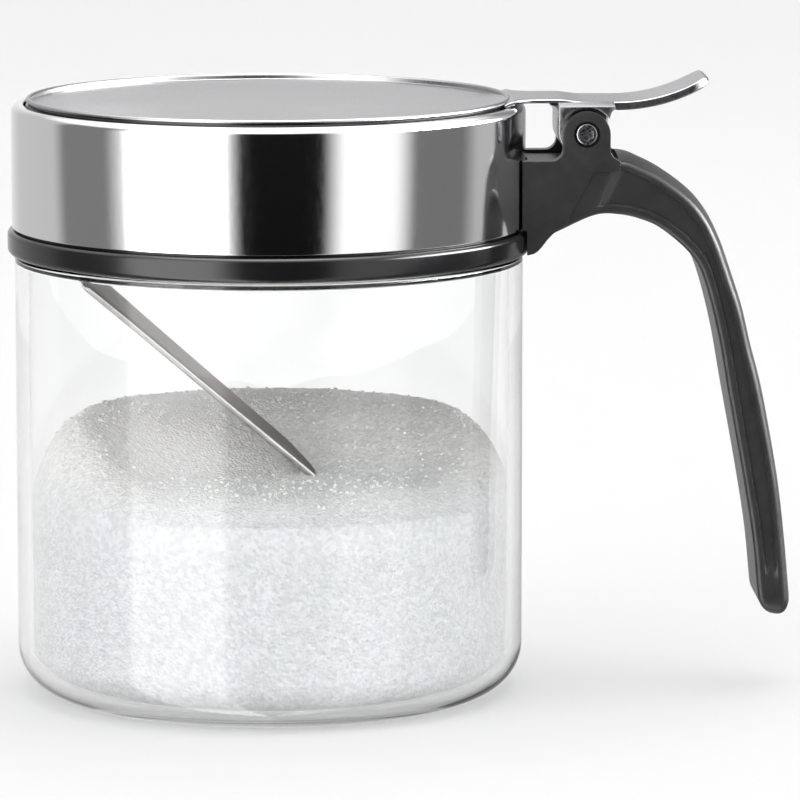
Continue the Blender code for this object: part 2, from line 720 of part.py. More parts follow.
def handle_screws(parent):
    """Two screws from inside the collar, through the band, into the bracket."""
    for side, hand in SIDES:
        place = (handle_screw_seat(), side * HANDLE_SCREW_Y, HANDLE_SCREW_Z)
        place_screw(f"handle_screw_{hand}", HANDLE_SCREW_LENGTH, place, (0, math.pi / 2, 0), parent)


def hinge_screw(parent):
    """Hinge pin: a socket-head screw that lies in both ears and carries the knuckle."""
    half = BRACKET_WIDTH / 2
    head_top = half - RUNNING_GAP
    seat = head_top - PIN_HEAD_THICKNESS
    shank_end = half - PIN_HEAD_THICKNESS - 2 * RUNNING_GAP
    profile = [
        (0, head_top - PIN_SOCKET_DEPTH),
        (PIN_SOCKET_RADIUS, head_top - PIN_SOCKET_DEPTH),
        (PIN_SOCKET_RADIUS, head_top),
        (PIN_HEAD_RADIUS, head_top),
        (PIN_HEAD_RADIUS, seat),
        (PIN_RADIUS, seat),
        (PIN_RADIUS, -shank_end),
        (PIN_END_RADIUS, -shank_end),
        (PIN_END_RADIUS, -head_top),
        (0, -head_top),
    ]
    made = object_from("hinge_screw", turned_shape(profile, SMALL_TURN_STEPS), screw_steel())
    made.location = (HINGE_X, 0, HINGE_Z)
    made.rotation_euler = (math.pi / 2, 0, 0)
    made.parent = parent
    made.matrix_parent_inverse = parent.matrix_world.inverted()
    return made


def hinge_nut(parent):
    """Round nut on the far end of the hinge screw, sunk in the far ear."""
    half = BRACKET_WIDTH / 2
    bore = PIN_END_RADIUS + GAP
    top = half - RUNNING_GAP
    seat = top - PIN_HEAD_THICKNESS
    profile = [(bore, seat), (PIN_HEAD_RADIUS, seat), (PIN_HEAD_RADIUS, top), (bore, top)]
    made = object_from("hinge_nut", turned_shape(profile, SMALL_TURN_STEPS), screw_steel())
    made.location = (HINGE_X, 0, HINGE_Z)
    made.rotation_euler = (-math.pi / 2, 0, 0)
    made.parent = parent
    made.matrix_parent_inverse = parent.matrix_world.inverted()
    return made


def spoon_screw_places():
    return (SPOON_SCREW_X, -SPOON_SCREW_Y), (SPOON_SCREW_X, SPOON_SCREW_Y)


def lid_screw_places():
    return *spoon_screw_places(), (PLUG_SCREW_X, 0)


def upright_rods(owner, places, low, high, radius, parent):
    """One upright rod at each (x, y) place, to cut holes or to join as bosses."""
    made = []
    for number, (x, y) in enumerate(places, 1):
        rod = rod_shape(radius, (x, y, low), (x, y, high))
        made.append(object_from(f"{owner}_{number}", rod, parent=parent))
    return made


def lever_shape():
    """The arm over the band and the thumb lever that curls up from it, one strip with a flared root."""
    half = ARM_WIDTH / 2
    root = Vector((ARM_ROOT, PANEL_TOP - ARM_THICKNESS / 2))
    level = ARM_TOP - ARM_THICKNESS / 2
    neck = DISC_RADIUS + ARM_FLARE
    ramp = Vector((DISC_RADIUS - 2 * LID_RIM_WIDTH, PANEL_TOP))
    path = [root, ramp]
    widths = [half + ARM_FLARE] * 2
    thick = [ARM_THICKNESS / 2, ARM_THICKNESS]
    for i in range(ARC_STEPS + 1):
        turn = math.pi / 2 * i / ARC_STEPS
        path.append(Vector((neck - ARM_FLARE * math.cos(turn), level)))
        widths.append(half + ARM_FLARE * (1 - math.sin(turn)))
        thick.append(ARM_THICKNESS)
    for x, drop in ((HINGE_X - KNUCKLE_HALF_LENGTH, 0), (HINGE_X, ARM_SAG)):
        path.append(Vector((x, level - drop)))
        widths.append(half)
        thick.append(ARM_THICKNESS)
    middle = LEVER_BEND_RADIUS + LEVER_THICKNESS / 2
    centre = Vector((LEVER_START, ARM_TOP - ARM_SAG + LEVER_BEND_RADIUS))
    reach = middle * LEVER_BEND_ANGLE
    for i in range(LEVER_STEPS + ARC_STEPS + 1):
        if i <= LEVER_STEPS:
            run = (reach - LEVER_CORNER_RADIUS) * i / LEVER_STEPS
            half_width = half
        else:
            turn = math.pi / 2 * (i - LEVER_STEPS) / ARC_STEPS
            run = reach - LEVER_CORNER_RADIUS * (1 - math.sin(turn))
            half_width = half - LEVER_CORNER_RADIUS * (1 - math.cos(turn))
        turned = run / middle
        path.append(centre + middle * Vector((math.sin(turned), -math.cos(turned))))
        widths.append(half_width)
        thick.append(LEVER_THICKNESS)
    return strip_shape(path, widths, thick)


def knuckle_outline():
    """Side view of the knuckle: straight down from the arm, round under the pin."""
    top = ARM_BOTTOM + ARM_THICKNESS / 2 - ARM_SAG
    turns = [math.pi * i / (4 * ARC_STEPS) for i in range(4 * ARC_STEPS + 1)]
    under = [
        (HINGE_X + KNUCKLE_HALF_LENGTH * math.cos(t), HINGE_Z - KNUCKLE_DROP * math.sin(t)) for t in turns
    ]
    return [(HINGE_X + KNUCKLE_HALF_LENGTH, top), *under, (HINGE_X - KNUCKLE_HALF_LENGTH, top)]


def hood_outline():
    """Side view of the hood that the casting spreads over both ears, with its arch round the pin."""
    half = KNUCKLE_HALF_LENGTH
    arch = EAR_RADIUS + HOOD_ROOM
    foot = math.degrees(math.asin(HOOD_RISE / arch))
    rise = HINGE_Z + HOOD_RISE
    top = ARM_TOP - ARM_SAG - HOOD_STEP
    edge = (top - HINGE_Z - arch) / 2
    return [
        (HINGE_X - half, rise), *arc(HINGE_X, HINGE_Z, arch, 180 - foot, foot, 2 * ARC_STEPS),
        (HINGE_X + half, rise), (HINGE_X + half, top - edge), (HINGE_X + half - edge, top),
        (HINGE_X - half + edge, top), (HINGE_X - half, top - edge),
    ]


def lid_lever(parent):
    """The flip lid, cast in one piece: a rimmed disc, its arm with hood and knuckle, and the thumb lever."""
    crest = LID_RIM_WIDTH / 2
    profile = [
        (0, PANEL_TOP),
        (DISC_RADIUS - LID_RIM_WIDTH, PANEL_TOP),
        *arc(DISC_RADIUS - crest, LID_RIM_TOP - crest, crest, 180, 0, 2 * EDGE_STEPS - 1),
        (DISC_RADIUS, DISC_BOTTOM),
        (0, DISC_BOTTOM),
    ]
    made = object_from("lid_lever", turned_shape(profile), satin_metal(), parent)
    knuckle = prism_shape(knuckle_outline(), KNUCKLE_WIDTH / 2)
    hood = prism_shape(hood_outline(), BRACKET_WIDTH / 2)
    boss_end = DISC_BOTTOM - BOSS_LENGTH
    buried = (PANEL_TOP + DISC_BOTTOM) / 2
    join(
        made,
        object_from("lid_arm", lever_shape(), parent=parent),
        object_from("lid_hood", hood, parent=parent),
        object_from("lid_knuckle", knuckle, parent=parent),
        *upright_rods("lid_boss", lid_screw_places(), boss_end, buried, BOSS_RADIUS, parent),
    )
    wide = KNUCKLE_WIDTH / 2 + CUT_OVERRUN
    bore = rod_shape(PIN_RADIUS + RUNNING_GAP, (HINGE_X, -wide, HINGE_Z), (HINGE_X, wide, HINGE_Z))
    tap = boss_end + SCREW_BITE + GAP
    cut(
        made,
        object_from("lid_pin_bore", bore, parent=parent),
        *upright_rods("lid_tap", lid_screw_places(), boss_end - CUT_OVERRUN, tap, HOLE_RADIUS, parent),
    )
    return made


def seal_groove():
    """Low and high side of the groove round the plug."""
    low = PLUG_BOTTOM + LID_SEAL_RISE - GAP
    return low, low + LID_SEAL_HEIGHT + 2 * GAP


def lid_plug(parent):
    """Moulded plug under the disc, with a seat flange, a groove for its seal and pockets for the bosses."""
    low, high = seal_groove()
    groove = PLUG_RADIUS - LID_SEAL_DEPTH
    profile = [
        (0, PLUG_TOP),
        (PLUG_FLANGE_RADIUS, PLUG_TOP),
        (PLUG_FLANGE_RADIUS, PLUG_FLANGE_BOTTOM),
        (PLUG_RADIUS, PLUG_FLANGE_BOTTOM),
        (PLUG_RADIUS, high),
        (groove, high),
        (groove, low),
        (PLUG_RADIUS, low),
        (PLUG_RADIUS, PLUG_BOTTOM + PLUG_CHAMFER),
        (PLUG_RADIUS - PLUG_CHAMFER, PLUG_BOTTOM),
        (0, PLUG_BOTTOM),
    ]
    made = object_from("lid_plug", turned_shape(profile), gloss_black(), parent)
    places = lid_screw_places()
    pocket = DISC_BOTTOM - BOSS_LENGTH - GAP
    cut(
        made,
        *upright_rods("plug_pocket", places, pocket, PLUG_TOP + CUT_OVERRUN, BOSS_RADIUS + GAP, parent),
        *upright_rods("plug_hole", places, PLUG_BOTTOM - CUT_OVERRUN, PLUG_TOP, HOLE_RADIUS, parent),
    )
    return made


def lid_gasket(parent):
    """Round-lipped seal that lies in the plug's groove and wipes the bore of the collar."""
    low, high = seal_groove()
    low, high = low + GAP, high - GAP
    inner = PLUG_RADIUS - LID_SEAL_DEPTH + GAP
    lip = COLLAR_BORE_RADIUS - GAP
    radius = (high - low) / 2
    profile = [(inner, low), *arc(lip - radius, low + radius, radius, -90, 90, EDGE_STEPS), (inner, high)]
    return object_from("lid_gasket", turned_shape(profile), seal_silicone(), parent)


def shank_path():
    """The strip's middle line as (x, z) points, with the half width at each: foot, leg and slanted shank."""
    half = STRIP_THICKNESS / 2
    bend = STRIP_BEND_RADIUS
    level = FOOT_TOP - half
    slant = Vector((math.cos(SHANK_ANGLE), -math.sin(SHANK_ANGLE)))
    path = [Vector((LEG_X + FOOT_LENGTH, level))]
    widths = [FOOT_HALF_WIDTH]
    for x, z in arc(LEG_X + bend, level - bend, bend, 90, 180):
        path.append(Vector((x, z)))
        widths.append(FOOT_HALF_WIDTH)
    turn = 90 - math.degrees(SHANK_ANGLE)
    trim = bend * math.tan(math.radians(turn) / 2)
    path.append(Vector((LEG_X, LEG_BOTTOM + bend + trim)))
    widths.append(LEG_HALF_WIDTH)
    for x, z in arc(LEG_X + bend, LEG_BOTTOM + trim, bend, 180, 180 + turn):
        path.append(Vector((x, z)))
        widths.append(SHANK_TOP_HALF_WIDTH)
    corner = Vector((LEG_X, LEG_BOTTOM))
    path.append(corner + slant * SHANK_LENGTH)
    widths.append(SHANK_END_HALF_WIDTH)
    path.append(corner + slant * (SHANK_LENGTH + SHANK_LAP))
    widths.append(SHANK_END_HALF_WIDTH)
    return path, widths


def shank_shape(grow=0):
    """The ladle's strip. With grow it is the pocket that the strip leaves in the salt."""
    path, widths = shank_path()
    widths = [width + grow for width in widths]
    return strip_shape(path, widths, [STRIP_THICKNESS + 2 * grow] * len(path))


def bowl_shape(grow=0, hollow=True):
    """The ladle's bowl, half an egg on the end of the strip, with its mouth square to the strip."""
    radius, depth = BOWL_RADIUS + grow, BOWL_DEPTH + grow
    turns = [math.pi / 2 * i / BOWL_RINGS for i in range(BOWL_RINGS + 1)]
    outside = [(radius * math.cos(t), -depth * math.sin(t)) for t in turns]
    outside[-1] = (0, -depth)
    if hollow:
        inside = [((radius - BOWL_WALL) * math.cos(t), (BOWL_WALL - depth) * math.sin(t)) for t in turns]
        inside[-1] = (0, BOWL_WALL - depth)
        profile = list(reversed(inside)) + outside
    else:
        profile = [(0, grow), (radius, grow), *outside]
    shape = turned_shape(profile, BOWL_STEPS)
    slant = Vector((math.cos(SHANK_ANGLE), 0, -math.sin(SHANK_ANGLE)))
    square = Vector((math.sin(SHANK_ANGLE), 0, math.cos(SHANK_ANGLE)))
    centre = Vector((LEG_X, 0, LEG_BOTTOM)) + slant * SHANK_LENGTH
    centre += square * (BOWL_RADIUS - BOWL_WALL / 2)
    tilt = Matrix.Rotation(math.pi / 2 + SHANK_ANGLE - math.pi, 4, "Y")
    bmesh.ops.transform(shape, matrix=Matrix.Translation(centre) @ tilt, verts=shape.verts)
    return shape


def spoon(parent):
    """Ladle of steel strip: screwed to the plug, down through the mouth and slantwise to its bowl."""
    made = object_from("spoon", shank_shape(), polished_steel(), parent)
    join(made, object_from("spoon_bowl", bowl_shape(), parent=parent))
    low, high = FOOT_TOP - STRIP_THICKNESS - CUT_OVERRUN, FOOT_TOP + CUT_OVERRUN
    cut(made, *upright_rods("spoon_hole", spoon_screw_places(), low, high, HOLE_RADIUS, parent))
    return made


def lid_screws(parent):
    """Two screws through the ladle's foot and one straight through the plug, up into the lid's bosses."""
    names = ("spoon_screw_left", "spoon_screw_right", "plug_screw")
    reach = DISC_BOTTOM - BOSS_LENGTH + SCREW_BITE
    for name, (x, y) in zip(names, lid_screw_places()):
        seat = PLUG_BOTTOM - GAP if name == "plug_screw" else FOOT_TOP - STRIP_THICKNESS - GAP
        place = (x, y, seat - SCREW_HEAD_HEIGHT)
        place_screw(name, reach - seat, place, (0, 0, 0), parent)


def build():
    clear_scene()
    jar_axis = pivot("jar_axis", (0, 0, 0))
    cap_axis = pivot("cap_axis", (0, 0, RING_BOTTOM), jar_axis)
    hinge_axis = pivot("hinge_axis", (HINGE_X, 0, HINGE_Z), cap_axis)
    glass_jar(jar_axis)
    salt_fill(jar_axis)
    rim_gasket(cap_axis)
    collar(cap_axis)
    steel_band(cap_axis)
    handle(cap_axis)
    handle_screws(cap_axis)
    hinge_screw(cap_axis)
    hinge_nut(cap_axis)
    lid_lever(hinge_axis)
    lid_plug(hinge_axis)
    lid_gasket(hinge_axis)
    spoon(hinge_axis)
    lid_screws(hinge_axis)


build()
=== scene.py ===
"""Looks of the spice jar: glass, salt, polished band, satin lid, black mouldings, screws, lights and camera."""

import json
import math
import random

import bpy
from mathutils import Matrix, Vector, noise


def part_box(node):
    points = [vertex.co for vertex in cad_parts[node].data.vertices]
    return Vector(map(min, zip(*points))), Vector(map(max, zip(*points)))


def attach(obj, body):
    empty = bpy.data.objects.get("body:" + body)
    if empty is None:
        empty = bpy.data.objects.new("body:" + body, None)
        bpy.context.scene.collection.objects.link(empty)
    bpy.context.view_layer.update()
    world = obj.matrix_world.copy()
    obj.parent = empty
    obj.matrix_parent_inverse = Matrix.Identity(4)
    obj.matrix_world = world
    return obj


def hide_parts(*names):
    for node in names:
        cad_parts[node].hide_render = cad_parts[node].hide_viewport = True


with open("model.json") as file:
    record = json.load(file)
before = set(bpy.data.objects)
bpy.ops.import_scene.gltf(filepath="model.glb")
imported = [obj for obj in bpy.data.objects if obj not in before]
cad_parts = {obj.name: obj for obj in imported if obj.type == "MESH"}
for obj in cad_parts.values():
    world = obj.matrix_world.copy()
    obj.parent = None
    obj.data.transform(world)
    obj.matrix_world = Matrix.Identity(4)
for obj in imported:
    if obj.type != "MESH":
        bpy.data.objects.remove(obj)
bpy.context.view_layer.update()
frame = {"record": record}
MM = 0.001

# Camera, as in the photograph: its distance from the jar's axis, and the height that it turns about
CAMERA_DISTANCE = 916.6 * MM
CAMERA_PITCH = math.radians(8.57)
CAMERA_AZIMUTH = math.radians(0.8)
CAMERA_YAW = math.radians(-1.293)
CAMERA_AIM_HEIGHT = 45.47 * MM
FOCAL_PIXELS = 5848.0
IMAGE_PIXELS = 800.0

# Places that the frame gives
GLASS_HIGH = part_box("glass_jar")[1]
BAND_LOW, BAND_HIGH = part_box("steel_band")
COLLAR_LOW, COLLAR_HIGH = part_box("collar")
PLUG_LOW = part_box("lid_plug")[0]
SEAL_LOW, SEAL_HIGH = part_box("lid_gasket")
RIM_SEAL_LOW, RIM_SEAL_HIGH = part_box("rim_gasket")
HANDLE_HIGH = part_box("handle")[1]
HINGE = Vector(next(j for j in frame["record"]["behaviour"]["joints"] if j["name"] == "lid_hinge")["pos_m"])

# How fine the round forms are
ROUND_STEPS = 160
SMALL_STEPS = 48
ARC_STEPS = 8


def deselect():
    """Leaves edit mode with nothing selected."""
    if bpy.context.mode != "OBJECT":
        bpy.ops.object.mode_set(mode="OBJECT")
    bpy.ops.object.select_all(action="DESELECT")


def edit(piece):
    """Opens one piece in edit mode with all of it selected."""
    deselect()
    bpy.context.view_layer.objects.active = piece
    piece.select_set(True)
    bpy.ops.object.mode_set(mode="EDIT")
    bpy.ops.mesh.select_all(action="SELECT")


def close_up(piece, holes=False):
    """Merges what meets, closes open ends and turns every face outwards."""
    edit(piece)
    bpy.ops.mesh.remove_doubles(threshold=0.001 * MM)
    if holes:
        bpy.ops.mesh.fill_holes(sides=0)
    bpy.ops.mesh.normals_make_consistent(inside=False)
    deselect()


def settle(piece, name):
    """Puts the object at the origin, with its place in its mesh."""
    deselect()
    bpy.context.view_layer.objects.active = piece
    piece.select_set(True)
    bpy.ops.object.transform_apply(location=True, rotation=True, scale=True)
    piece.name = name
    piece.data.name = name
    return piece


def arc(centre_r, centre_z, radius, start, end, steps=ARC_STEPS):
    """Points on an arc, angles in degrees from the outward direction towards up."""
    turns = [math.radians(start + (end - start) * i / steps) for i in range(steps + 1)]
    return [(centre_r + radius * math.cos(t), centre_z + radius * math.sin(t)) for t in turns]


def turned(name, profile, steps=ROUND_STEPS):
    """A turned piece: a vertex drawn along a profile of (radius, height) and spun about the jar's axis."""
    deselect()
    bpy.ops.mesh.primitive_plane_add(size=MM, location=(0, 0, 0))
    piece = settle(bpy.context.object, name)
    edit(piece)
    bpy.ops.mesh.merge(type="CENTER")
    bpy.ops.transform.translate(value=(profile[0][0], 0, profile[0][1]))
    way = profile if profile[0][0] == 0 else profile + profile[:1]
    for (r0, z0), (r1, z1) in zip(way, way[1:]):
        bpy.ops.mesh.extrude_region_move(TRANSFORM_OT_translate={"value": (r1 - r0, 0, z1 - z0)})
    bpy.ops.mesh.select_all(action="SELECT")
    bpy.ops.mesh.spin(steps=steps, angle=math.tau, center=(0, 0, 0), axis=(0, 0, 1))
    close_up(piece)
    return piece


def drawn(name, outline, low, high):
    """An outline of (x, z) points drawn with a vertex, filled, and extruded along Y from low to high."""
    deselect()
    bpy.ops.mesh.primitive_plane_add(size=MM, location=(0, 0, 0))
    piece = settle(bpy.context.object, name)
    edit(piece)
    bpy.ops.mesh.merge(type="CENTER")
    bpy.ops.transform.translate(value=(outline[0][0], low, outline[0][1]))
    for (x0, z0), (x1, z1) in zip(outline, outline[1:] + outline[:1]):
        bpy.ops.mesh.extrude_region_move(TRANSFORM_OT_translate={"value": (x1 - x0, 0, z1 - z0)})
    bpy.ops.mesh.select_all(action="SELECT")
    bpy.ops.mesh.remove_doubles(threshold=0.001 * MM)
    bpy.ops.mesh.edge_face_add()
    bpy.ops.mesh.extrude_region_move(TRANSFORM_OT_translate={"value": (0, high - low, 0)})
    close_up(piece)
    return piece


def skinned(name, rings, capped=True):
    """A grid wrapped round a row of rings that have the same count of points."""
    around, along = len(rings[0]), len(rings)
    deselect()
    bpy.ops.mesh.primitive_grid_add(x_subdivisions=around, y_subdivisions=along - 1, size=1)
    piece = settle(bpy.context.object, name)
    for row, ring in enumerate(rings):
        for column in range(around + 1):
            piece.data.vertices[row * (around + 1) + column].co = ring[column % around]
    close_up(piece, holes=capped)
    return piece


def rod(name, radius, start, end, steps=SMALL_STEPS):
    """A round bar between two points."""
    start, end = Vector(start), Vector(end)
    along = end - start
    deselect()
    bpy.ops.mesh.primitive_cylinder_add(
        vertices=steps,
        radius=radius,
        depth=along.length,
        location=(start + end) / 2,
        rotation=along.to_track_quat("Z", "Y").to_euler(),
    )
    return settle(bpy.context.object, name)


def block(name, low, high):
    """A square block between two corners, used as a cutter."""
    low, high = Vector(low), Vector(high)
    deselect()
    bpy.ops.mesh.primitive_cube_add(size=1, location=(low + high) / 2, scale=high - low)
    return settle(bpy.context.object, name)


def use_modifier(piece, kind, **settings):
    """Adds a modifier and applies it."""
    deselect()
    bpy.context.view_layer.objects.active = piece
    piece.select_set(True)
    modifier = piece.modifiers.new(kind.lower(), kind)
    for key, value in settings.items():
        setattr(modifier, key, value)
    bpy.ops.object.modifier_apply(modifier=modifier.name)


def weld(piece, *others, operation="UNION"):
    """Joins or cuts with other shapes, which are used up."""
    for other in others:
        use_modifier(piece, "BOOLEAN", object=other, operation=operation, solver="EXACT")
        bpy.data.objects.remove(other, do_unlink=True)
    return piece


def cut(piece, *others):
    return weld(piece, *others, operation="DIFFERENCE")


def soften(piece, width, segments=3, angle=35):
    """Rounds every edge that is sharper than the angle."""
    use_modifier(
        piece, "BEVEL", width=width, segments=segments, limit_method="ANGLE", angle_limit=math.radians(angle)
    )


def smooth(piece, angle=35):
    deselect()
    bpy.context.view_layer.objects.active = piece
    piece.select_set(True)
    bpy.ops.object.shade_smooth_by_angle(angle=math.radians(angle))


def hand_in(piece, body, finish, slot, *nodes):
    """Gives a finished piece its material, its body and the nodes that it stands for."""
    piece.data.materials.clear()
    piece.data.materials.append(finish)
    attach(piece, body)
    if nodes:
        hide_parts(*nodes)


# Materials


class Recipe:
    """A node material with one Principled shader and a few short ways to feed it."""

    def __init__(self, name, **sockets):
        self.material = bpy.data.materials.new(name)
        self.material.use_nodes = True
        self.tree = self.material.node_tree
        self.shader = self.tree.nodes["Principled BSDF"]
        for socket, value in sockets.items():
            self.shader.inputs[socket.replace("_", " ")].default_value = value

    def node(self, kind, inputs=None, **settings):
        made = self.tree.nodes.new(kind)
        for key, value in settings.items():
            setattr(made, key, value)
        for key, value in (inputs or {}).items():
            if isinstance(value, bpy.types.NodeSocket):
                self.tree.links.new(value, made.inputs[key])
            else:
                made.inputs[key].default_value = value
        return made

    def place(self, scale=(1, 1, 1)):
        """Where on the piece, in metres, stretched by a scale."""
        coordinates = self.node("ShaderNodeTexCoord")
        mapping = self.node("ShaderNodeMapping", {"Vector": coordinates.outputs["Object"], "Scale": scale})
        return mapping.outputs["Vector"]

    def speckle(self, size, detail=2.0, scale=(1, 1, 1), roughness=0.5):
        """Soft noise with features of about the given size."""
        made = self.node(
            "ShaderNodeTexNoise",
            {"Vector": self.place(scale), "Scale": 1 / size, "Detail": detail, "Roughness": roughness},
        )
        return made.outputs["Fac"]

    def grains(self, size, output="Distance"):
        """Cells of about the given size."""
        made = self.node("ShaderNodeTexVoronoi", {"Vector": self.place(), "Scale": 1 / size})
        return made.outputs[output]

    def between(self, value, low, high, start=0.3, end=0.7):
        """Maps a value from start..end to low..high."""
        ends = {"From Min": start, "From Max": end, "To Min": low, "To Max": high}
        return self.node("ShaderNodeMapRange", {"Value": value, **ends}).outputs["Result"]

    def shades(self, value, *stops):
        """A colour ramp with (place, colour) stops."""
        made = self.node("ShaderNodeValToRGB", {"Fac": value})
        ramp = made.color_ramp
        for index, (place, colour) in enumerate(stops):
            stop = ramp.elements[index] if index < 2 else ramp.elements.new(place)
            stop.position = place
            stop.color = (*colour, 1)
        return made.outputs["Color"]

    def mix(self, share, first, second, blend="MIX"):
        made = self.node("ShaderNodeMix", data_type="RGBA", blend_type=blend)
        sources = {"Factor": share, "A": first, "B": second}
        for socket in made.inputs:
            source = sources.get(socket.name) if socket.enabled else None
            if isinstance(source, bpy.types.NodeSocket):
                self.tree.links.new(source, socket)
            elif source is not None:
                socket.default_value = source
        return next(socket for socket in made.outputs if socket.enabled)

    def feed(self, socket, value):
        self.tree.links.new(value, self.shader.inputs[socket])

    def bump(self, height, strength, depth, below=None):
        inputs = {"Height": height, "Strength": strength, "Distance": depth}
        if below:
            inputs["Normal"] = below
        return self.node("ShaderNodeBump", inputs).outputs["Normal"]


def clear_glass():
    """Pressed clear glass with a faint waviness."""
    recipe = Recipe(
        "clear_glass",
        Base_Color=(0.99, 0.995, 0.993, 1),
        Roughness=0.0,
        IOR=1.47,
        Transmission_Weight=1.0,
    )
    wave = recipe.speckle(14 * MM, detail=1.0)
    recipe.feed("Normal", recipe.bump(wave, 0.25, 0.15 * MM))
    return recipe.material


def table_salt():
    """White salt with brighter crystals, with painted light: the top is painted warmer and brighter, the side
    against the glass bluer and darker.
    """
    recipe = Recipe("table_salt", Roughness=0.8, Specular_IOR_Level=0.4)
    tint = recipe.speckle(9 * MM, detail=6.0, roughness=0.62)
    # Painted light: one salt in two tints, a bluer darker painted shade for the side against the glass and a
    # warmer brighter painted light for the top.
    glass_side_painted_shade = recipe.shades(tint, (0.30, (0.81, 0.83, 0.835)), (0.72, (0.87, 0.88, 0.905)))
    top_painted_light = recipe.shades(tint, (0.30, (0.93, 0.915, 0.89)), (0.72, (0.98, 0.97, 0.95)))
    place = recipe.node("ShaderNodeSeparateXYZ", {"Vector": recipe.place()})
    # Painted light: the top's tint takes over between 32 and 38 mm up.
    top = recipe.between(place.outputs["Z"], 0.0, 1.0, 32 * MM, 38 * MM)
    cloud = recipe.mix(top, glass_side_painted_shade, top_painted_light)
    crystal = recipe.grains(0.6 * MM, "Color")
    bright = recipe.node("ShaderNodeSeparateColor", {"Color": crystal}).outputs["Red"]
    dull, pale, white = (0.80, 0.80, 0.80), (0.97, 0.97, 0.97), (1.0, 1.0, 1.0)
    grain = recipe.shades(bright, (0.0, dull), (0.80, pale), (0.97, white))
    recipe.feed("Base Color", recipe.mix(0.85, cloud, grain, "MULTIPLY"))
    rough = recipe.grains(0.5 * MM)
    lumps = recipe.speckle(2.2 * MM, detail=6.0, roughness=0.65)
    below = recipe.bump(lumps, 0.5, 0.5 * MM)
    recipe.feed("Normal", recipe.bump(rough, 0.9, 0.22 * MM, below))
    return recipe.material


def polished_steel():
    """Bright rolled steel sheet with a faint grain round the cap."""
    recipe = Recipe("polished_steel", Base_Color=(0.83, 0.83, 0.84, 1), Metallic=1.0)
    grain = recipe.speckle(0.5 * MM, detail=3.0, scale=(1, 1, 0.25))
    recipe.feed("Roughness", recipe.between(grain, 0.085, 0.125))
    recipe.feed("Normal", recipe.bump(grain, 0.05, 0.02 * MM))
    return recipe.material


def satin_metal():
    """Cast lid metal with a fine satin blast."""
    recipe = Recipe("satin_metal", Metallic=1.0)
    grain = recipe.speckle(0.35 * MM, detail=4.0)
    cloud = recipe.speckle(16 * MM, detail=2.0)
    recipe.feed("Base Color", recipe.shades(cloud, (0.2, (0.365, 0.365, 0.376)), (0.8, (0.39, 0.39, 0.402))))
    recipe.feed("Roughness", recipe.between(grain, 0.26, 0.36))
    recipe.feed("Normal", recipe.bump(grain, 0.05, 0.02 * MM))
    return recipe.material


def gloss_black():
    """Smooth black plastic of the collar and the plug."""
    recipe = Recipe("gloss_black", Base_Color=(0.010, 0.010, 0.011, 1))
    haze = recipe.speckle(6 * MM, detail=3.0)
    recipe.feed("Roughness", recipe.between(haze, 0.16, 0.24))
    ripple = recipe.speckle(5 * MM, detail=2.0)
    recipe.feed("Normal", recipe.bump(ripple, 0.08, 0.05 * MM))
    return recipe.material


def grained_black():
    """Black plastic of the handle with a fine moulded grain."""
    recipe = Recipe("grained_black", Specular_IOR_Level=0.5)
    cloud = recipe.speckle(4 * MM, detail=4.0)
    black = recipe.shades(cloud, (0.25, (0.019, 0.019, 0.020)), (0.75, (0.034, 0.034, 0.035)))
    recipe.feed("Base Color", black)
    grain = recipe.speckle(0.38 * MM, detail=3.0)
    recipe.feed("Roughness", recipe.between(grain, 0.34, 0.46))
    recipe.feed("Normal", recipe.bump(grain, 0.45, 0.07 * MM))
    return recipe.material


def seal_silicone():
    """Milky silicone of the seals."""
    recipe = Recipe("seal_silicone", Subsurface_Weight=0.2, Subsurface_Scale=1 * MM)
    cloud = recipe.speckle(3 * MM, detail=2.0)
    recipe.feed("Base Color", recipe.shades(cloud, (0.2, (0.66, 0.67, 0.68)), (0.8, (0.74, 0.75, 0.76))))
    recipe.feed("Roughness", recipe.between(cloud, 0.42, 0.52))
    return recipe.material


def screw_steel():
    """Plated steel of the screws, with turning marks."""
    recipe = Recipe("screw_steel", Metallic=1.0)
    marks = recipe.speckle(0.4 * MM, detail=3.0)
    recipe.feed("Base Color", recipe.shades(marks, (0.2, (0.40, 0.40, 0.41)), (0.8, (0.58, 0.58, 0.60))))
    recipe.feed("Roughness", recipe.between(marks, 0.22, 0.34))
    recipe.feed("Normal", recipe.bump(marks, 0.05, 0.02 * MM))
    return recipe.material


def ladle_steel():
    """Rolled steel strip, brushed along its length."""
    recipe = Recipe("ladle_steel", Metallic=1.0, Specular_Tint=(0.15, 0.135, 0.13, 1))
    brush = recipe.speckle(0.5 * MM, detail=4.0, scale=(0.08, 1, 0.08))
    steel = recipe.shades(brush, (0.25, (0.40, 0.385, 0.375)), (0.75, (0.52, 0.505, 0.495)))
    recipe.feed("Base Color", steel)
    recipe.feed("Roughness", recipe.between(brush, 0.26, 0.38))
    recipe.feed("Normal", recipe.bump(brush, 0.12, 0.03 * MM))
    return recipe.material


FINISHES = {
    "glass": clear_glass(),
    "salt": table_salt(),
    "seal": seal_silicone(),
    "gloss_black": gloss_black(),
    "grained_black": grained_black(),
    "polished_steel": polished_steel(),
    "satin_metal": satin_metal(),
    "spoon_steel": ladle_steel(),
    "screw_steel": screw_steel(),
}

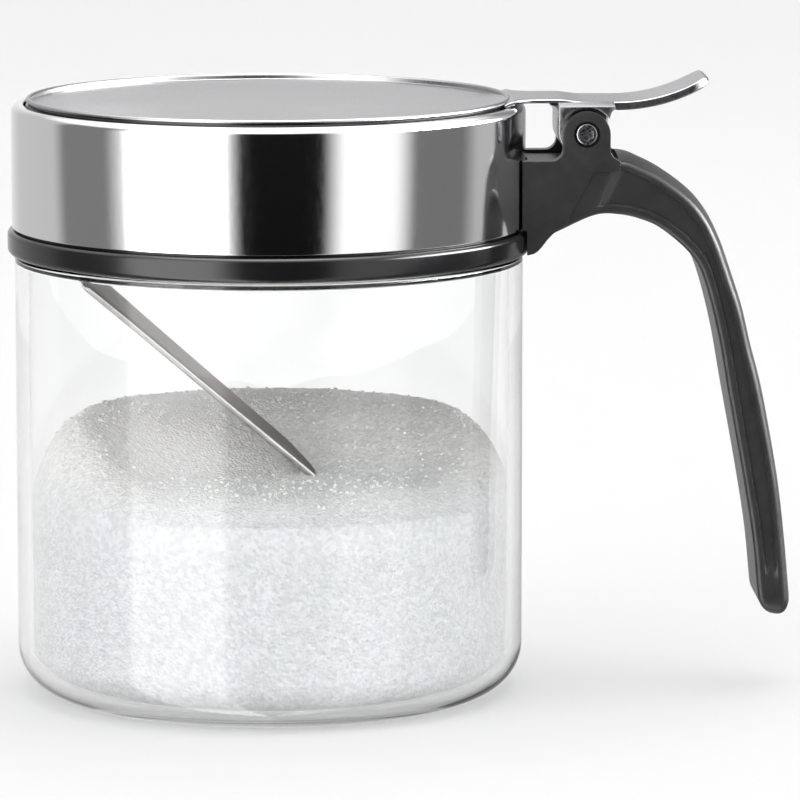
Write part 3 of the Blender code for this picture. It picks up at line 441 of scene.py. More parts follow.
# Glass jar
JAR_RADIUS = GLASS_HIGH.x
JAR_WALL = 2.3 * MM
JAR_BASE = 2.4 * MM
JAR_HEEL = 7.5 * MM
JAR_INNER_HEEL = JAR_HEEL - JAR_WALL
JAR_SHOULDER = 68.8 * MM
SHOULDER_ROUND = 0.45 * MM
SHOULDER_SLAB = 0.9 * MM
NECK_RADIUS = RIM_SEAL_HIGH.x
NECK_BORE = NECK_RADIUS - 2.0 * MM
NECK_RIM_ROUND = 0.9 * MM
THROAT_ROUND = 0.3 * MM
THROAT_CORNER = 0.4 * MM
THREAD_LOW = 72.4 * MM
THREAD_RISE = 4.0 * MM
THREAD_TURNS = 1.2
THREAD_PROUD = 1.0 * MM
THREAD_HALF = 0.9 * MM
THREAD_FADE = 0.12
THREAD_STEPS = 150


def thread_ridge(name, radius, proud, low, sink):
    """A round-topped ridge that climbs a helix on a neck, or in a bore where proud is negative."""
    rings = []
    for i in range(THREAD_STEPS + 1):
        share = i / THREAD_STEPS
        turn = math.tau * THREAD_TURNS * share
        height = low + THREAD_RISE * THREAD_TURNS * share
        rise = min(1.0, share / THREAD_FADE, (1 - share) / THREAD_FADE)
        tall = proud * math.sin(math.pi / 2 * rise)
        section = [(-sink, -THREAD_HALF), (0, -THREAD_HALF), (tall * 0.8, -THREAD_HALF * 0.5), (tall, 0)]
        section += [(tall * 0.8, THREAD_HALF * 0.5), (0, THREAD_HALF), (-sink, THREAD_HALF)]
        ahead, aside = math.cos(turn), math.sin(turn)
        rings.append([((radius + out) * ahead, (radius + out) * aside, height + up) for out, up in section])
    return skinned(name, rings)


def jar_glass():
    """The glass: foot, rounded heel, straight wall, tight shoulder and the neck with its thread."""
    inner = JAR_RADIUS - JAR_WALL
    throat = JAR_SHOULDER - SHOULDER_SLAB
    rim = GLASS_HIGH.z - NECK_RIM_ROUND
    push_up = 0.5 * MM
    stand = JAR_RADIUS - JAR_HEEL
    profile = [(0, push_up), (stand - 5 * MM, push_up), (stand - 3.6 * MM, 0.1 * MM), (stand - 2.6 * MM, 0)]
    profile += arc(stand, JAR_HEEL, JAR_HEEL, -90, 0, 2 * ARC_STEPS)
    profile += arc(JAR_RADIUS - SHOULDER_ROUND, JAR_SHOULDER - SHOULDER_ROUND, SHOULDER_ROUND, 0, 90)
    profile += arc(NECK_RADIUS + 0.4 * MM, JAR_SHOULDER + 0.4 * MM, 0.4 * MM, 270, 180, 4)
    profile += arc(NECK_RADIUS - NECK_RIM_ROUND, rim, NECK_RIM_ROUND, 0, 90)
    profile += arc(NECK_BORE + NECK_RIM_ROUND, rim, NECK_RIM_ROUND, 90, 180)
    profile += arc(NECK_BORE + THROAT_ROUND, throat + THROAT_ROUND, THROAT_ROUND, 180, 270, 5)
    profile += arc(inner - THROAT_CORNER, throat - THROAT_CORNER, THROAT_CORNER, 90, 0, 5)
    profile += arc(inner - JAR_INNER_HEEL, JAR_BASE + JAR_INNER_HEEL, JAR_INNER_HEEL, 0, -90, 2 * ARC_STEPS)
    profile += [(0, JAR_BASE)]
    jar = turned("jar_glass", profile)
    weld(jar, thread_ridge("neck_thread", NECK_RADIUS, THREAD_PROUD, THREAD_LOW, 0.8 * MM))
    smooth(jar, 40)
    hand_in(jar, "jar", FINISHES["glass"], "glass", "glass_jar")


jar_glass()


# Salt
SALT_RADIUS = JAR_RADIUS - JAR_WALL - 0.15 * MM
SALT_FLOOR = JAR_BASE + 0.2 * MM
SALT_HEEL = JAR_INNER_HEEL - 0.15 * MM
SALT_WALL_TOP = 34.6 * MM
SALT_WALL_TILT = 2.6 * MM
SALT_FRONT_SINK = 3.4 * MM
SALT_CREST = 43.9 * MM
SALT_HOLLOW = 34.9 * MM
SALT_HOLLOW_PLACE = Vector((5.0, -22.0)) * MM
SALT_HOLLOW_START = 20.0 * MM
SALT_HOLLOW_END = 41.0 * MM
SALT_RINGS = 72
SALT_BREAK_SHARE = 0.78
SALT_UNEVEN = 0.5 * MM
SALT_BREAK_UNEVEN = 0.9 * MM
SALT_GRAIN = 0.14 * MM
CRYSTALS = 1500
CRYSTAL_SIZE = 0.42 * MM
CRYSTAL_REACH = 35.5 * MM


def ease(share):
    """A smooth step from 0 to 1."""
    share = min(1.0, max(0.0, share))
    return share * share * (3 - 2 * share)


def salt_level(x, y):
    """Height of the salt's surface: heaped at the back, scooped hollow in front, broken off near the wall."""
    share = min(1.0, math.hypot(x, y) / SALT_RADIUS)
    place = Vector((x, y, 0)) / (14 * MM)
    from_hollow = (Vector((x, y)) - SALT_HOLLOW_PLACE).length
    heaped = ease((from_hollow - SALT_HOLLOW_START) / (SALT_HOLLOW_END - SALT_HOLLOW_START))
    level = SALT_HOLLOW + (SALT_CREST - SALT_HOLLOW) * heaped
    edge = SALT_BREAK_SHARE - 0.08 * ease(-y / SALT_RADIUS)
    edge += 0.04 * noise.noise(place * 0.8 + Vector((3, 1, 0)))
    fall = max(0.0, (share - edge) / (1 - edge)) ** 2
    tilt = SALT_WALL_TILT * max(0.0, x / SALT_RADIUS) * ease(0.5 + y / SALT_RADIUS)
    wall = SALT_WALL_TOP + tilt - SALT_FRONT_SINK * ease(0.3 - y / SALT_RADIUS)
    rough = SALT_UNEVEN * noise.noise(place) + 0.35 * SALT_UNEVEN * noise.noise(place * 3.1)
    rough += SALT_BREAK_UNEVEN * fall * noise.noise(place * 1.9 + Vector((0, 7, 0)))
    return level + (wall - level) * fall + rough * (1 - 0.5 * share)


def salt_crystals():
    """Coarse crystals that lie on the salt, copied from one cube with worn edges."""
    deselect()
    bpy.ops.mesh.primitive_cube_add(size=1, location=(0, 0, 0))
    crystal = settle(bpy.context.object, "salt_crystals")
    soften(crystal, 0.18, 1)
    places = [v.co.copy() for v in crystal.data.vertices]
    sides = [tuple(f.vertices) for f in crystal.data.polygons]
    vertices, faces = [], []
    scatter = random.Random(CRYSTALS)
    for _ in range(CRYSTALS):
        r, turn = CRYSTAL_REACH * math.sqrt(scatter.random()), math.tau * scatter.random()
        x, y = r * math.cos(turn), r * math.sin(turn)
        size = CRYSTAL_SIZE * (0.5 + 0.9 * scatter.random() ** 3)
        tumble = [math.tau * scatter.random() for _ in range(2)]
        turned_by = Matrix.Rotation(tumble[0], 3, "Z") @ Matrix.Rotation(tumble[1], 3, "X")
        middle = Vector((x, y, salt_level(x, y) + size * 0.1))
        faces += [tuple(len(vertices) + index for index in side) for side in sides]
        vertices += [middle + turned_by @ (place * size) for place in places]
    crystal.data.clear_geometry()
    crystal.data.from_pydata(vertices, [], faces)
    crystal.data.update()
    return crystal


def salt_heap():
    """Salt poured into the jar, packed against the glass, with single grains standing out of its surface."""
    rings = []
    for r, z in arc(SALT_RADIUS - SALT_HEEL, SALT_FLOOR + SALT_HEEL, SALT_HEEL, -90, 0):
        rings.append([(r, z)] * ROUND_STEPS)
    for level in range(1, 5):
        height = SALT_FLOOR + SALT_HEEL + (SALT_WALL_TOP - SALT_FLOOR - SALT_HEEL) * level / 6
        rings.append([(SALT_RADIUS, height)] * ROUND_STEPS)
    sections = []
    for ring in rings:
        sections.append(
            [
                (r * math.cos(math.tau * i / ROUND_STEPS), r * math.sin(math.tau * i / ROUND_STEPS), z)
                for i, (r, z) in enumerate(ring)
            ]
        )
    for step in range(SALT_RINGS):
        r = SALT_RADIUS * (1 - step / SALT_RINGS)
        section = []
        for i in range(ROUND_STEPS):
            x, y = r * math.cos(math.tau * i / ROUND_STEPS), r * math.sin(math.tau * i / ROUND_STEPS)
            grain = SALT_GRAIN * noise.noise(Vector((x, y, 0)) / (0.9 * MM)) if step else 0
            section.append((x, y, salt_level(x, y) + grain))
        sections.append(section)
    heap = skinned("salt_heap", sections)
    smooth(heap, 60)
    deselect()
    crystals = salt_crystals()
    crystals.select_set(True)
    heap.select_set(True)
    bpy.context.view_layer.objects.active = heap
    bpy.ops.object.join()
    hand_in(heap, "jar", FINISHES["salt"], "salt", "salt_fill")


salt_heap()

# Cap: collar, band and seal
RING_HEIGHT = 3.8 * MM
RING_ROUND = 1.0 * MM
BAND_SHEET = 0.6 * MM
BAND_CORNER = 1.3 * MM
BAND_LIP = 1.95 * MM
BAND_HEM = 0.25 * MM
COLLAR_BORE = NECK_BORE - 0.5 * MM
COLLAR_BODY = BAND_HIGH.x - BAND_SHEET - 0.3 * MM
SEAT_WALL = 0.9 * MM
FLANGE_BOTTOM = RIM_SEAL_HIGH.z + 0.3 * MM
FLANGE_TOP = FLANGE_BOTTOM + 1.2 * MM
SLEEVE_BORE = NECK_RADIUS + 0.4 * MM
THREAD_BORE = NECK_RADIUS + 1.5 * MM
THREAD_BORE_TOP = COLLAR_LOW.z + 10.0 * MM
COLLAR_THREAD_LOW = 71.6 * MM
LIP_BORE = BAND_HIGH.x - BAND_LIP
HANDLE_SCREW_Y = 5.2 * MM
HANDLE_SCREW_Z = HINGE.z - 6.7 * MM
SCREW_HOLE = 1.45 * MM


def screw_hole_bars(name):
    """Bars where the two handle screws pass through the cap's wall."""
    return [
        rod(
            f"{name}_{side}",
            SCREW_HOLE,
            (NECK_RADIUS - 1 * MM, side * HANDLE_SCREW_Y, HANDLE_SCREW_Z),
            (BAND_HIGH.x + 2 * MM, side * HANDLE_SCREW_Y, HANDLE_SCREW_Z),
        )
        for side in (-1, 1)
    ]


def collar_moulding():
    """Black collar: the glossy ring that shows, the threaded sleeve, the flange and the lid's seat."""
    low = COLLAR_LOW.z
    ring_top = low + RING_HEIGHT
    out = COLLAR_HIGH.x
    edge = RING_ROUND
    body_top = COLLAR_HIGH.z
    chamfer = 0.25 * MM
    profile = [(THREAD_BORE + chamfer, low), (THREAD_BORE + 2 * chamfer, low)]
    profile += arc(out - edge, low + edge, edge, -90, 0)
    profile += arc(out - edge * 0.8, ring_top - edge * 0.8, edge * 0.8, 0, 90)
    profile += [(COLLAR_BODY, ring_top), (COLLAR_BODY, body_top - chamfer), (COLLAR_BODY - chamfer, body_top)]
    profile += [(COLLAR_BODY - SEAT_WALL, body_top)]
    profile += arc(COLLAR_BODY - SEAT_WALL - chamfer, FLANGE_TOP + chamfer, chamfer, 0, -90, 3)
    profile += arc(COLLAR_BORE + chamfer, FLANGE_TOP - chamfer, chamfer, 90, 180, 3)
    profile += [(COLLAR_BORE, FLANGE_BOTTOM), (SLEEVE_BORE, FLANGE_BOTTOM), (SLEEVE_BORE, THREAD_BORE_TOP)]
    profile += [(THREAD_BORE, THREAD_BORE_TOP), (THREAD_BORE, low + chamfer)]
    moulding = turned("collar_moulding", profile)
    weld(moulding, thread_ridge("collar_thread", THREAD_BORE, -0.35 * MM, COLLAR_THREAD_LOW, -0.5 * MM))
    cut(moulding, *screw_hole_bars("collar_hole"))
    smooth(moulding)
    hand_in(moulding, "cap", FINISHES["gloss_black"], "gloss_black", "collar")


def band_sheet():
    """Polished band: sheet with a rolled hem at the ring and its top edge turned in as a lip."""
    out, low, top = BAND_HIGH.x, BAND_LOW.z, BAND_HIGH.z
    inner = out - BAND_SHEET
    corner = BAND_CORNER
    profile = [(inner, low + BAND_HEM)]
    profile += arc(inner + BAND_HEM, low + BAND_HEM, BAND_HEM, 180, 270, 4)
    profile += arc(out - BAND_HEM, low + BAND_HEM, BAND_HEM, 270, 360, 4)
    profile += arc(out - corner, top - corner, corner, 0, 90, 2 * ARC_STEPS)
    profile += arc(LIP_BORE + BAND_HEM, top - BAND_HEM, BAND_HEM, 90, 180, 4)
    profile += [(LIP_BORE, top - BAND_SHEET)]
    profile += arc(out - corner, top - corner, corner - BAND_SHEET, 90, 0)
    band = turned("band_sheet", profile, 2 * ROUND_STEPS)
    cut(band, *screw_hole_bars("band_hole"))
    smooth(band, 30)
    hand_in(band, "cap", FINISHES["polished_steel"], "polished_steel", "steel_band")


def rim_seal():
    """Flat silicone ring on the glass rim, with a bead round its middle."""
    low, high = RIM_SEAL_LOW.z, RIM_SEAL_HIGH.z
    out, bore = RIM_SEAL_HIGH.x, NECK_BORE
    nip = 0.2 * MM
    middle = (out + bore) / 2
    profile = [(bore + nip, low), (middle - nip, low), (middle, low + nip / 2), (middle + nip, low)]
    profile += [(out - nip, low), (out, low + nip), (out, high - nip), (out - nip, high)]
    profile += [(middle + nip, high), (middle, high - nip / 2), (middle - nip, high)]
    profile += [(bore + nip, high), (bore, high - nip), (bore, low + nip)]
    seal = turned("rim_seal", profile)
    smooth(seal, 40)
    hand_in(seal, "seal", FINISHES["seal"], "seal", "rim_gasket")


collar_moulding()
band_sheet()
rim_seal()

# Handle
BRACKET_HALF = HANDLE_HIGH.y
GRIP_REACH = 32.6 * MM
GRIP_DROP = 73.2 * MM
LEDGE_Z = HINGE.z - 4.1 * MM
EAR_RADIUS = 3.65 * MM
EAR_FILLET = 1.8 * MM
SLOT_HALF = 7.4 * MM
SLOT_FLOOR = HINGE.z - 4.65 * MM
BRACKET_FOOT = COLLAR_LOW.z + 0.3 * MM
BRACKET_EDGE = 0.6 * MM
GRIP_TIP_HALF = 7.7 * MM
GRIP_CROWN = 0.7 * MM
GRIP_OUTER_EDGE = 1.0 * MM
GRIP_INNER_EDGE = 0.8 * MM
GRIP_OUTER_RIM = 0.3 * MM
GRIP_INNER_RIM = 0.65 * MM
GRIP_PANEL = 0.55 * MM
GRIP_PANEL_WALL = 0.25 * MM
GRIP_STATIONS = 120
GRIP_TIP_ROUND = 3.0 * MM
GRIP_TIP_STATIONS = 12
PANEL_FIRST = 8
PANEL_LAST = 116
PANEL_RUN_IN = 4
CREASE_STEP = 0.4 * MM
PIN_RADIUS = 1.3 * MM
PIN_HEAD_RADIUS = 1.72 * MM
PIN_HEAD_DEPTH = 0.9 * MM
PIN_GAP = 0.3 * MM
# How far along the reach and down the drop each point of the grip's two edge lines lies
OUTER_EDGE_SHARES = (
    (-0.012, 0.011), (0.160, 0.001), (0.265, 0.016), (0.380, 0.044), (0.498, 0.085), (0.575, 0.128),
    (0.635, 0.183), (0.684, 0.245), (0.741, 0.321), (0.785, 0.403), (0.844, 0.507), (0.920, 0.687),
    (0.957, 0.822), (0.984, 0.950),
)
INNER_EDGE_SHARES = (
    (-0.153, 0.154), (0.034, 0.117), (0.153, 0.115), (0.261, 0.126), (0.350, 0.144), (0.457, 0.182),
    (0.525, 0.217), (0.563, 0.254), (0.604, 0.317), (0.644, 0.395), (0.687, 0.504), (0.755, 0.668),
    (0.808, 0.812), (0.837, 0.938),
)
# The bracket's foot, underside and crease: shares of the run from band to hinge and of the rise to the ledge
BRACKET_SHARES = (
    (0.0, 0.0), (0.10, 0.015), (0.17, 0.045), (0.24, 0.095), (0.32, 0.16), (0.41, 0.22), (0.50, 0.265),
    (0.58, 0.30), (0.66, 0.33), (0.72, 0.42), (1.11, 0.88),
)


def smooth_line(shares, count):
    """Points on a smooth curve through the places that the shares give."""
    points = [Vector((HINGE.x + GRIP_REACH * a, LEDGE_Z - GRIP_DROP * d)) for a, d in shares]
    way = [2 * points[0] - points[1], *points, 2 * points[-1] - points[-2]]
    spans = len(points) - 1
    line = []
    for i in range(count):
        place = i * spans / (count - 1)
        span = min(int(place), spans - 1)
        t = place - span
        a, b, c, d = way[span : span + 4]
        line.append(
            (2 * b + (c - a) * t + (2 * a - 5 * b + 4 * c - d) * t**2 + (3 * b - a - 3 * c + d) * t**3) / 2
        )
    return line


def grip_ring(outer, inner, half, sunk, shrink=1.0):
    """One ring round the grip: crowned back, round edges, flat rims and a sunk panel on each side."""
    across = outer - inner
    thick = across.length
    normal = across / thick
    outer_edge = min(GRIP_OUTER_EDGE * shrink, thick / 3)
    inner_edge = min(GRIP_INNER_EDGE * shrink, thick / 4)
    face = thick - outer_edge - inner_edge
    rim_low = inner_edge + min(GRIP_INNER_RIM, face / 3)
    rim_high = thick - outer_edge - min(GRIP_OUTER_RIM, face / 3)
    wall = min(GRIP_PANEL_WALL, (rim_high - rim_low) / 4)
    crown = GRIP_CROWN * shrink
    side = [(0, half * s) for s in (0.3, 0.6)]
    side += [(n, half - inner_edge + y) for n, y in reversed(arc(inner_edge, 0, inner_edge, 90, 180, 5))]
    side += [(rim_low, half), (rim_low + wall * 0.3, half - sunk * 0.15), (rim_low + wall, half - sunk)]
    side += [((rim_low + rim_high) / 2, half - sunk)]
    side += [(rim_high - wall, half - sunk), (rim_high - wall * 0.3, half - sunk * 0.15), (rim_high, half)]
    base = thick - outer_edge
    for n, y in reversed(arc(base, 0, outer_edge, 0, 90, 6)):
        side.append((n, half - outer_edge + y))
    flat = half - outer_edge
    side += [(thick + crown * (1 - s * s), flat * s) for s in (0.85, 0.65, 0.4, 0.15)]
    ring = side + [(n, -y) for n, y in reversed(side)]
    return [(inner.x + normal.x * n, y, inner.y + normal.y * n) for n, y in ring]


def grip():
    """The hanging grip, drawn out between its two edge lines to a rounded tip."""
    outer = smooth_line(OUTER_EDGE_SHARES, GRIP_STATIONS)
    inner = smooth_line(INNER_EDGE_SHARES, GRIP_STATIONS)
    last = GRIP_STATIONS - 1
    start = BRACKET_HALF - CREASE_STEP
    rings = []
    for i in range(GRIP_STATIONS):
        half = start + (GRIP_TIP_HALF - start) * i / last
        into = min(1.0, max(0.0, (i - PANEL_FIRST) / PANEL_RUN_IN), max(0.0, (PANEL_LAST - i) / PANEL_RUN_IN))
        rings.append(grip_ring(outer[i], inner[i], half, GRIP_PANEL * into))
    middle = (outer[last] + inner[last]) / 2
    side = (outer[last] - inner[last]) / 2
    way = (outer[last] + inner[last] - outer[last - 1] - inner[last - 1]).normalized()
    for i in range(1, GRIP_TIP_STATIONS + 1):
        turn = math.pi / 2 * i / (GRIP_TIP_STATIONS + 0.4)
        shrink = math.cos(turn)
        place = middle + way * GRIP_TIP_ROUND * math.sin(turn)
        half = GRIP_TIP_HALF - GRIP_TIP_ROUND * (1 - shrink)
        rings.append(grip_ring(place + side * shrink, place - side * shrink, half, 0, shrink))
    return skinned("grip", rings)


def bracket_outline():
    """Side view of the bracket: foot, underside, crease, ledge, fillets and the round-topped ear."""
    run = HINGE.x - BAND_HIGH.x
    rise = LEDGE_Z - BRACKET_FOOT
    start = BAND_HIGH.x - 3 * MM
    end = HINGE.x + GRIP_REACH * OUTER_EDGE_SHARES[1][0]
    left, right = HINGE.x - EAR_RADIUS, HINGE.x + EAR_RADIUS
    outline = [(start, BRACKET_FOOT)]
    outline += [(BAND_HIGH.x + run * across, BRACKET_FOOT + rise * up) for across, up in BRACKET_SHARES]
    outline += [(end, LEDGE_Z - 1.5 * MM), (end, LEDGE_Z - 0.1 * MM)]
    outline += arc(right + EAR_FILLET, LEDGE_Z + EAR_FILLET, EAR_FILLET, 262, 180)
    outline += arc(HINGE.x, HINGE.z, EAR_RADIUS, 0, 180, 3 * ARC_STEPS)
    outline += arc(left - EAR_FILLET, LEDGE_Z + EAR_FILLET, EAR_FILLET, 0, -90)
    outline += [(start, LEDGE_Z)]
    return outline


def handle_moulding():
    """Bracket with its two ears and the grip, one moulding, cut to the band, the pin and the screws."""
    moulding = drawn("handle_moulding", bracket_outline(), -BRACKET_HALF, BRACKET_HALF)
    ear_end = HINGE.x + EAR_RADIUS + EAR_FILLET
    slot_low = (BAND_HIGH.x - 4 * MM, -SLOT_HALF, SLOT_FLOOR)
    slot_high = (ear_end, SLOT_HALF, BAND_HIGH.z + 4 * MM)
    cut(moulding, block("handle_slot", slot_low, slot_high))
    soften(moulding, BRACKET_EDGE, 4, 40)
    weld(moulding, grip())
    over = BAND_HIGH.z + 4 * MM
    across = Vector((0, 12 * MM, 0))
    tools = [
        rod("saddle", BAND_HIGH.x + PIN_GAP, (0, 0, 0), (0, 0, over), ROUND_STEPS),
        rod("ring_seat", COLLAR_HIGH.x + PIN_GAP, (0, 0, 0), (0, 0, BAND_LOW.z), ROUND_STEPS),
        rod("pin_bore", PIN_RADIUS + PIN_GAP, HINGE - across, HINGE + across),
        block("slot_floor", slot_low, (ear_end - 0.4 * MM, SLOT_HALF, over)),
    ]
    seat = BRACKET_HALF - PIN_HEAD_DEPTH - PIN_GAP
    for side in (-1, 1):
        near, far = (HINGE + Vector((0, side * y, 0)) for y in (seat, BRACKET_HALF + 2 * MM))
        tools.append(rod(f"head_seat_{side}", PIN_HEAD_RADIUS + PIN_GAP, near, far))
    cut(moulding, *tools, *screw_hole_bars("handle_hole"))
    smooth(moulding, 32)
    hand_in(moulding, "cap", FINISHES["grained_black"], "grained_black", "handle")


handle_moulding()


# Lid
DISC_RADIUS = LIP_BORE - 0.35 * MM
RIM_TOP = BAND_HIGH.z + 0.95 * MM
RIM_WIDTH = 0.9 * MM
PANEL_Z = RIM_TOP - 0.9 * MM
DISC_BOTTOM = PANEL_Z - 0.75 * MM
# The groove under the rim, whose faces are painted black as shade
GROOVE_TOP = BAND_HIGH.z + 0.5 * MM
GROOVE_LOW = BAND_HIGH.z - 0.25 * MM
GROOVE_DEPTH = 0.4 * MM
ARM_BOTTOM = BAND_HIGH.z + 0.3 * MM
ARM_THICK = 0.6 * MM
ARM_HALF = 7.2 * MM
ARM_FLARE = 3.4 * MM
ARM_SAG = 0.4 * MM
ARM_EDGE = 0.25 * MM
KNUCKLE_HALF_LENGTH = 4.35 * MM
KNUCKLE_OUTER = 3.45 * MM
KNUCKLE_DROP = 3.8 * MM
KNUCKLE_HALF = 7.1 * MM
LEVER_THICK = 1.3 * MM
LEVER_START = HINGE.x + 5.0 * MM
LEVER_BEND = 26.0 * MM
LEVER_ANGLE = math.radians(32)
LEVER_CORNER = 3.0 * MM
LEVER_STATIONS = 40
HOOD_ROOM = 0.55 * MM
HOOD_RISE = 2.5 * MM
HOOD_LIP = 0.12 * MM
# The hood's edge on the lever's side, inwards from the knuckle's end and up from the hood's foot
HOOD_OUTER = (
    (-0.80 * MM, 0),
    (-0.76 * MM, 0.4 * MM),
    (-0.62 * MM, 0.8 * MM),
    (-0.38 * MM, 1.15 * MM),
    (0, 1.45 * MM),
)
HOOD_FILLET = 1.3 * MM
FILLET_HALF = 6.95 * MM
BOSS_RADIUS = 2.8 * MM
BOSS_LENGTH = 3.4 * MM
BOSS_TAP = 2.9 * MM
LEG_X = 6.0 * MM - NECK_BORE
SPOON_SCREW_X = LEG_X + 8.0 * MM
SPOON_SCREW_Y = 5.0 * MM
PLUG_RADIUS = COLLAR_BORE - 1.4 * MM
PLUG_SCREW_X = PLUG_RADIUS - 10.6 * MM
LID_SCREWS = (
    (SPOON_SCREW_X, -SPOON_SCREW_Y),
    (SPOON_SCREW_X, SPOON_SCREW_Y),
    (PLUG_SCREW_X, 0),
)


def strip_ring(place, normal, half, thick, edge):
    """A ring round a flat strip with rounded edges, its middle at place (x, z)."""
    tall = thick / 2
    edge = min(edge, tall * 0.98)
    corner = [(tall - edge + u, half - edge + v) for u, v in arc(0, 0, edge, 0, 90, 4)]
    right = corner[::-1]
    side = [(tall, s * (half - edge)) for s in (-0.6, -0.2, 0.2, 0.6)]
    under = [(-tall, s * (half - edge)) for s in (0.6, 0.2, -0.2, -0.6)]
    ring = side + corner + [(-n, y) for n, y in right] + under
    ring += [(-n, -y) for n, y in corner] + [(n, -y) for n, y in right]
    return [(place.x + normal.x * n, y, place.y + normal.y * n) for n, y in ring]


def strip(name, path, halves, thicks, edge):
    """A flat strip along a path of (x, z) points."""
    rings = []
    for i, place in enumerate(path):
        before, after = path[max(i - 1, 0)], path[min(i + 1, len(path) - 1)]
        way = (after - before).normalized()
        rings.append(strip_ring(place, Vector((-way.y, way.x)), halves[i], thicks[i], edge))
    return skinned(name, rings)


def arm_and_lever():
    """The arm: a flared root in the tray, level over the band, a slight sag at the hinge, then the lever."""
    root = DISC_RADIUS - 4.7 * MM
    ramp = DISC_RADIUS - 2 * RIM_WIDTH
    neck = DISC_RADIUS + ARM_FLARE
    level = ARM_BOTTOM + ARM_THICK / 2
    flat = HINGE.x - KNUCKLE_HALF_LENGTH
    path, halves, thicks = [Vector((root, PANEL_Z - ARM_THICK / 2))], [ARM_HALF + ARM_FLARE], [ARM_THICK / 2]
    for i in range(7):
        share = i / 6
        path.append(Vector((ramp + (DISC_RADIUS - ramp) * share, PANEL_Z + (level - PANEL_Z) * ease(share))))
        halves.append(ARM_HALF + ARM_FLARE)
        thicks.append(ARM_THICK)
    for i in range(1, 11):
        turn = math.pi / 2 * i / 10
        path.append(Vector((neck - ARM_FLARE * math.cos(turn), level)))
        halves.append(ARM_HALF + ARM_FLARE * (1 - math.sin(turn)))
        thicks.append(ARM_THICK)
    for i in range(9):
        share = i / 8
        x = flat + (HINGE.x - flat) * share
        path.append(Vector((x, level - ARM_SAG * ease(share))))
        halves.append(ARM_HALF)
        thicks.append(ARM_THICK)
    middle = LEVER_BEND + LEVER_THICK / 2
    centre = Vector((LEVER_START, ARM_BOTTOM + ARM_THICK - ARM_SAG + LEVER_BEND))
    reach = middle * LEVER_ANGLE
    for i in range(LEVER_STATIONS + 1):
        run = reach * i / LEVER_STATIONS
        inset = max(0.0, run - reach + LEVER_CORNER)
        half = ARM_HALF - LEVER_CORNER + math.sqrt(max(0.0, LEVER_CORNER**2 - inset**2)) * 0.98
        turned_by = run / middle
        path.append(centre + middle * Vector((math.sin(turned_by), -math.cos(turned_by))))
        halves.append(half)
        nose = max(0.0, (run - reach + 0.6 * MM) / (0.6 * MM))
        thicks.append(LEVER_THICK * math.sqrt(1 - 0.9 * nose * nose))
    return strip("arm_and_lever", path, halves, thicks, ARM_EDGE)


def knuckle():
    """Straight down from the arm and round under the pin, behind the ear on its outer side."""
    top = ARM_BOTTOM - ARM_SAG + ARM_THICK * 0.4
    turns = [math.pi * i / 24 for i in range(25)]
    under = []
    for turn in turns:
        reach = KNUCKLE_OUTER if math.cos(turn) > 0 else KNUCKLE_HALF_LENGTH
        under.append((HINGE.x + reach * math.cos(turn), HINGE.z - KNUCKLE_DROP * math.sin(turn)))
    outline = [(HINGE.x + KNUCKLE_OUTER, top), *under, (HINGE.x - KNUCKLE_HALF_LENGTH, top)]
    made = drawn("knuckle", outline, -KNUCKLE_HALF, KNUCKLE_HALF)
    soften(made, 0.3 * MM, 3, 40)
    return made


def hood():
    """The casting spread over both ears: an arch round the pin, sloping wings, a fillet towards the jar."""
    half = KNUCKLE_HALF_LENGTH
    arch = EAR_RADIUS + HOOD_ROOM
    foot = math.degrees(math.asin(HOOD_RISE / arch))
    rise = HINGE.z + HOOD_RISE
    top = ARM_BOTTOM + ARM_THICK - ARM_SAG - 0.02 * MM
    outline = [(HINGE.x - half, rise)]
    outline += arc(HINGE.x, HINGE.z, arch, 180 - foot, foot, 24)
    outline += [(HINGE.x + half + x, rise + z) for x, z in HOOD_OUTER]
    outline += [(HINGE.x + half, top), (HINGE.x - half, top)]
    made = drawn("hood", outline, -ARM_HALF, ARM_HALF)
    crown = HINGE.z + arch
    for side in (-1, 1):
        inside, outside = side * (ARM_HALF - 0.1 * MM), side * BRACKET_HALF
        wing = drawn(f"hood_wing_{side}", outline, min(inside, outside), max(inside, outside))
        for vertex in wing.data.vertices:
            if abs(vertex.co.y) > BRACKET_HALF - 0.1 * MM and vertex.co.z > crown + 0.01 * MM:
                vertex.co.z = crown + HOOD_LIP
        soften(wing, 0.12 * MM, 2, 50)
        weld(made, wing)
    wall, under = HINGE.x - half + 0.1 * MM, ARM_BOTTOM - ARM_SAG + 0.1 * MM
    corner = arc(wall - HOOD_FILLET, under - HOOD_FILLET, HOOD_FILLET, 90, 0, 6)
    weld(made, drawn("hood_fillet", [*corner, (wall, under)], -FILLET_HALF, FILLET_HALF))
    return made


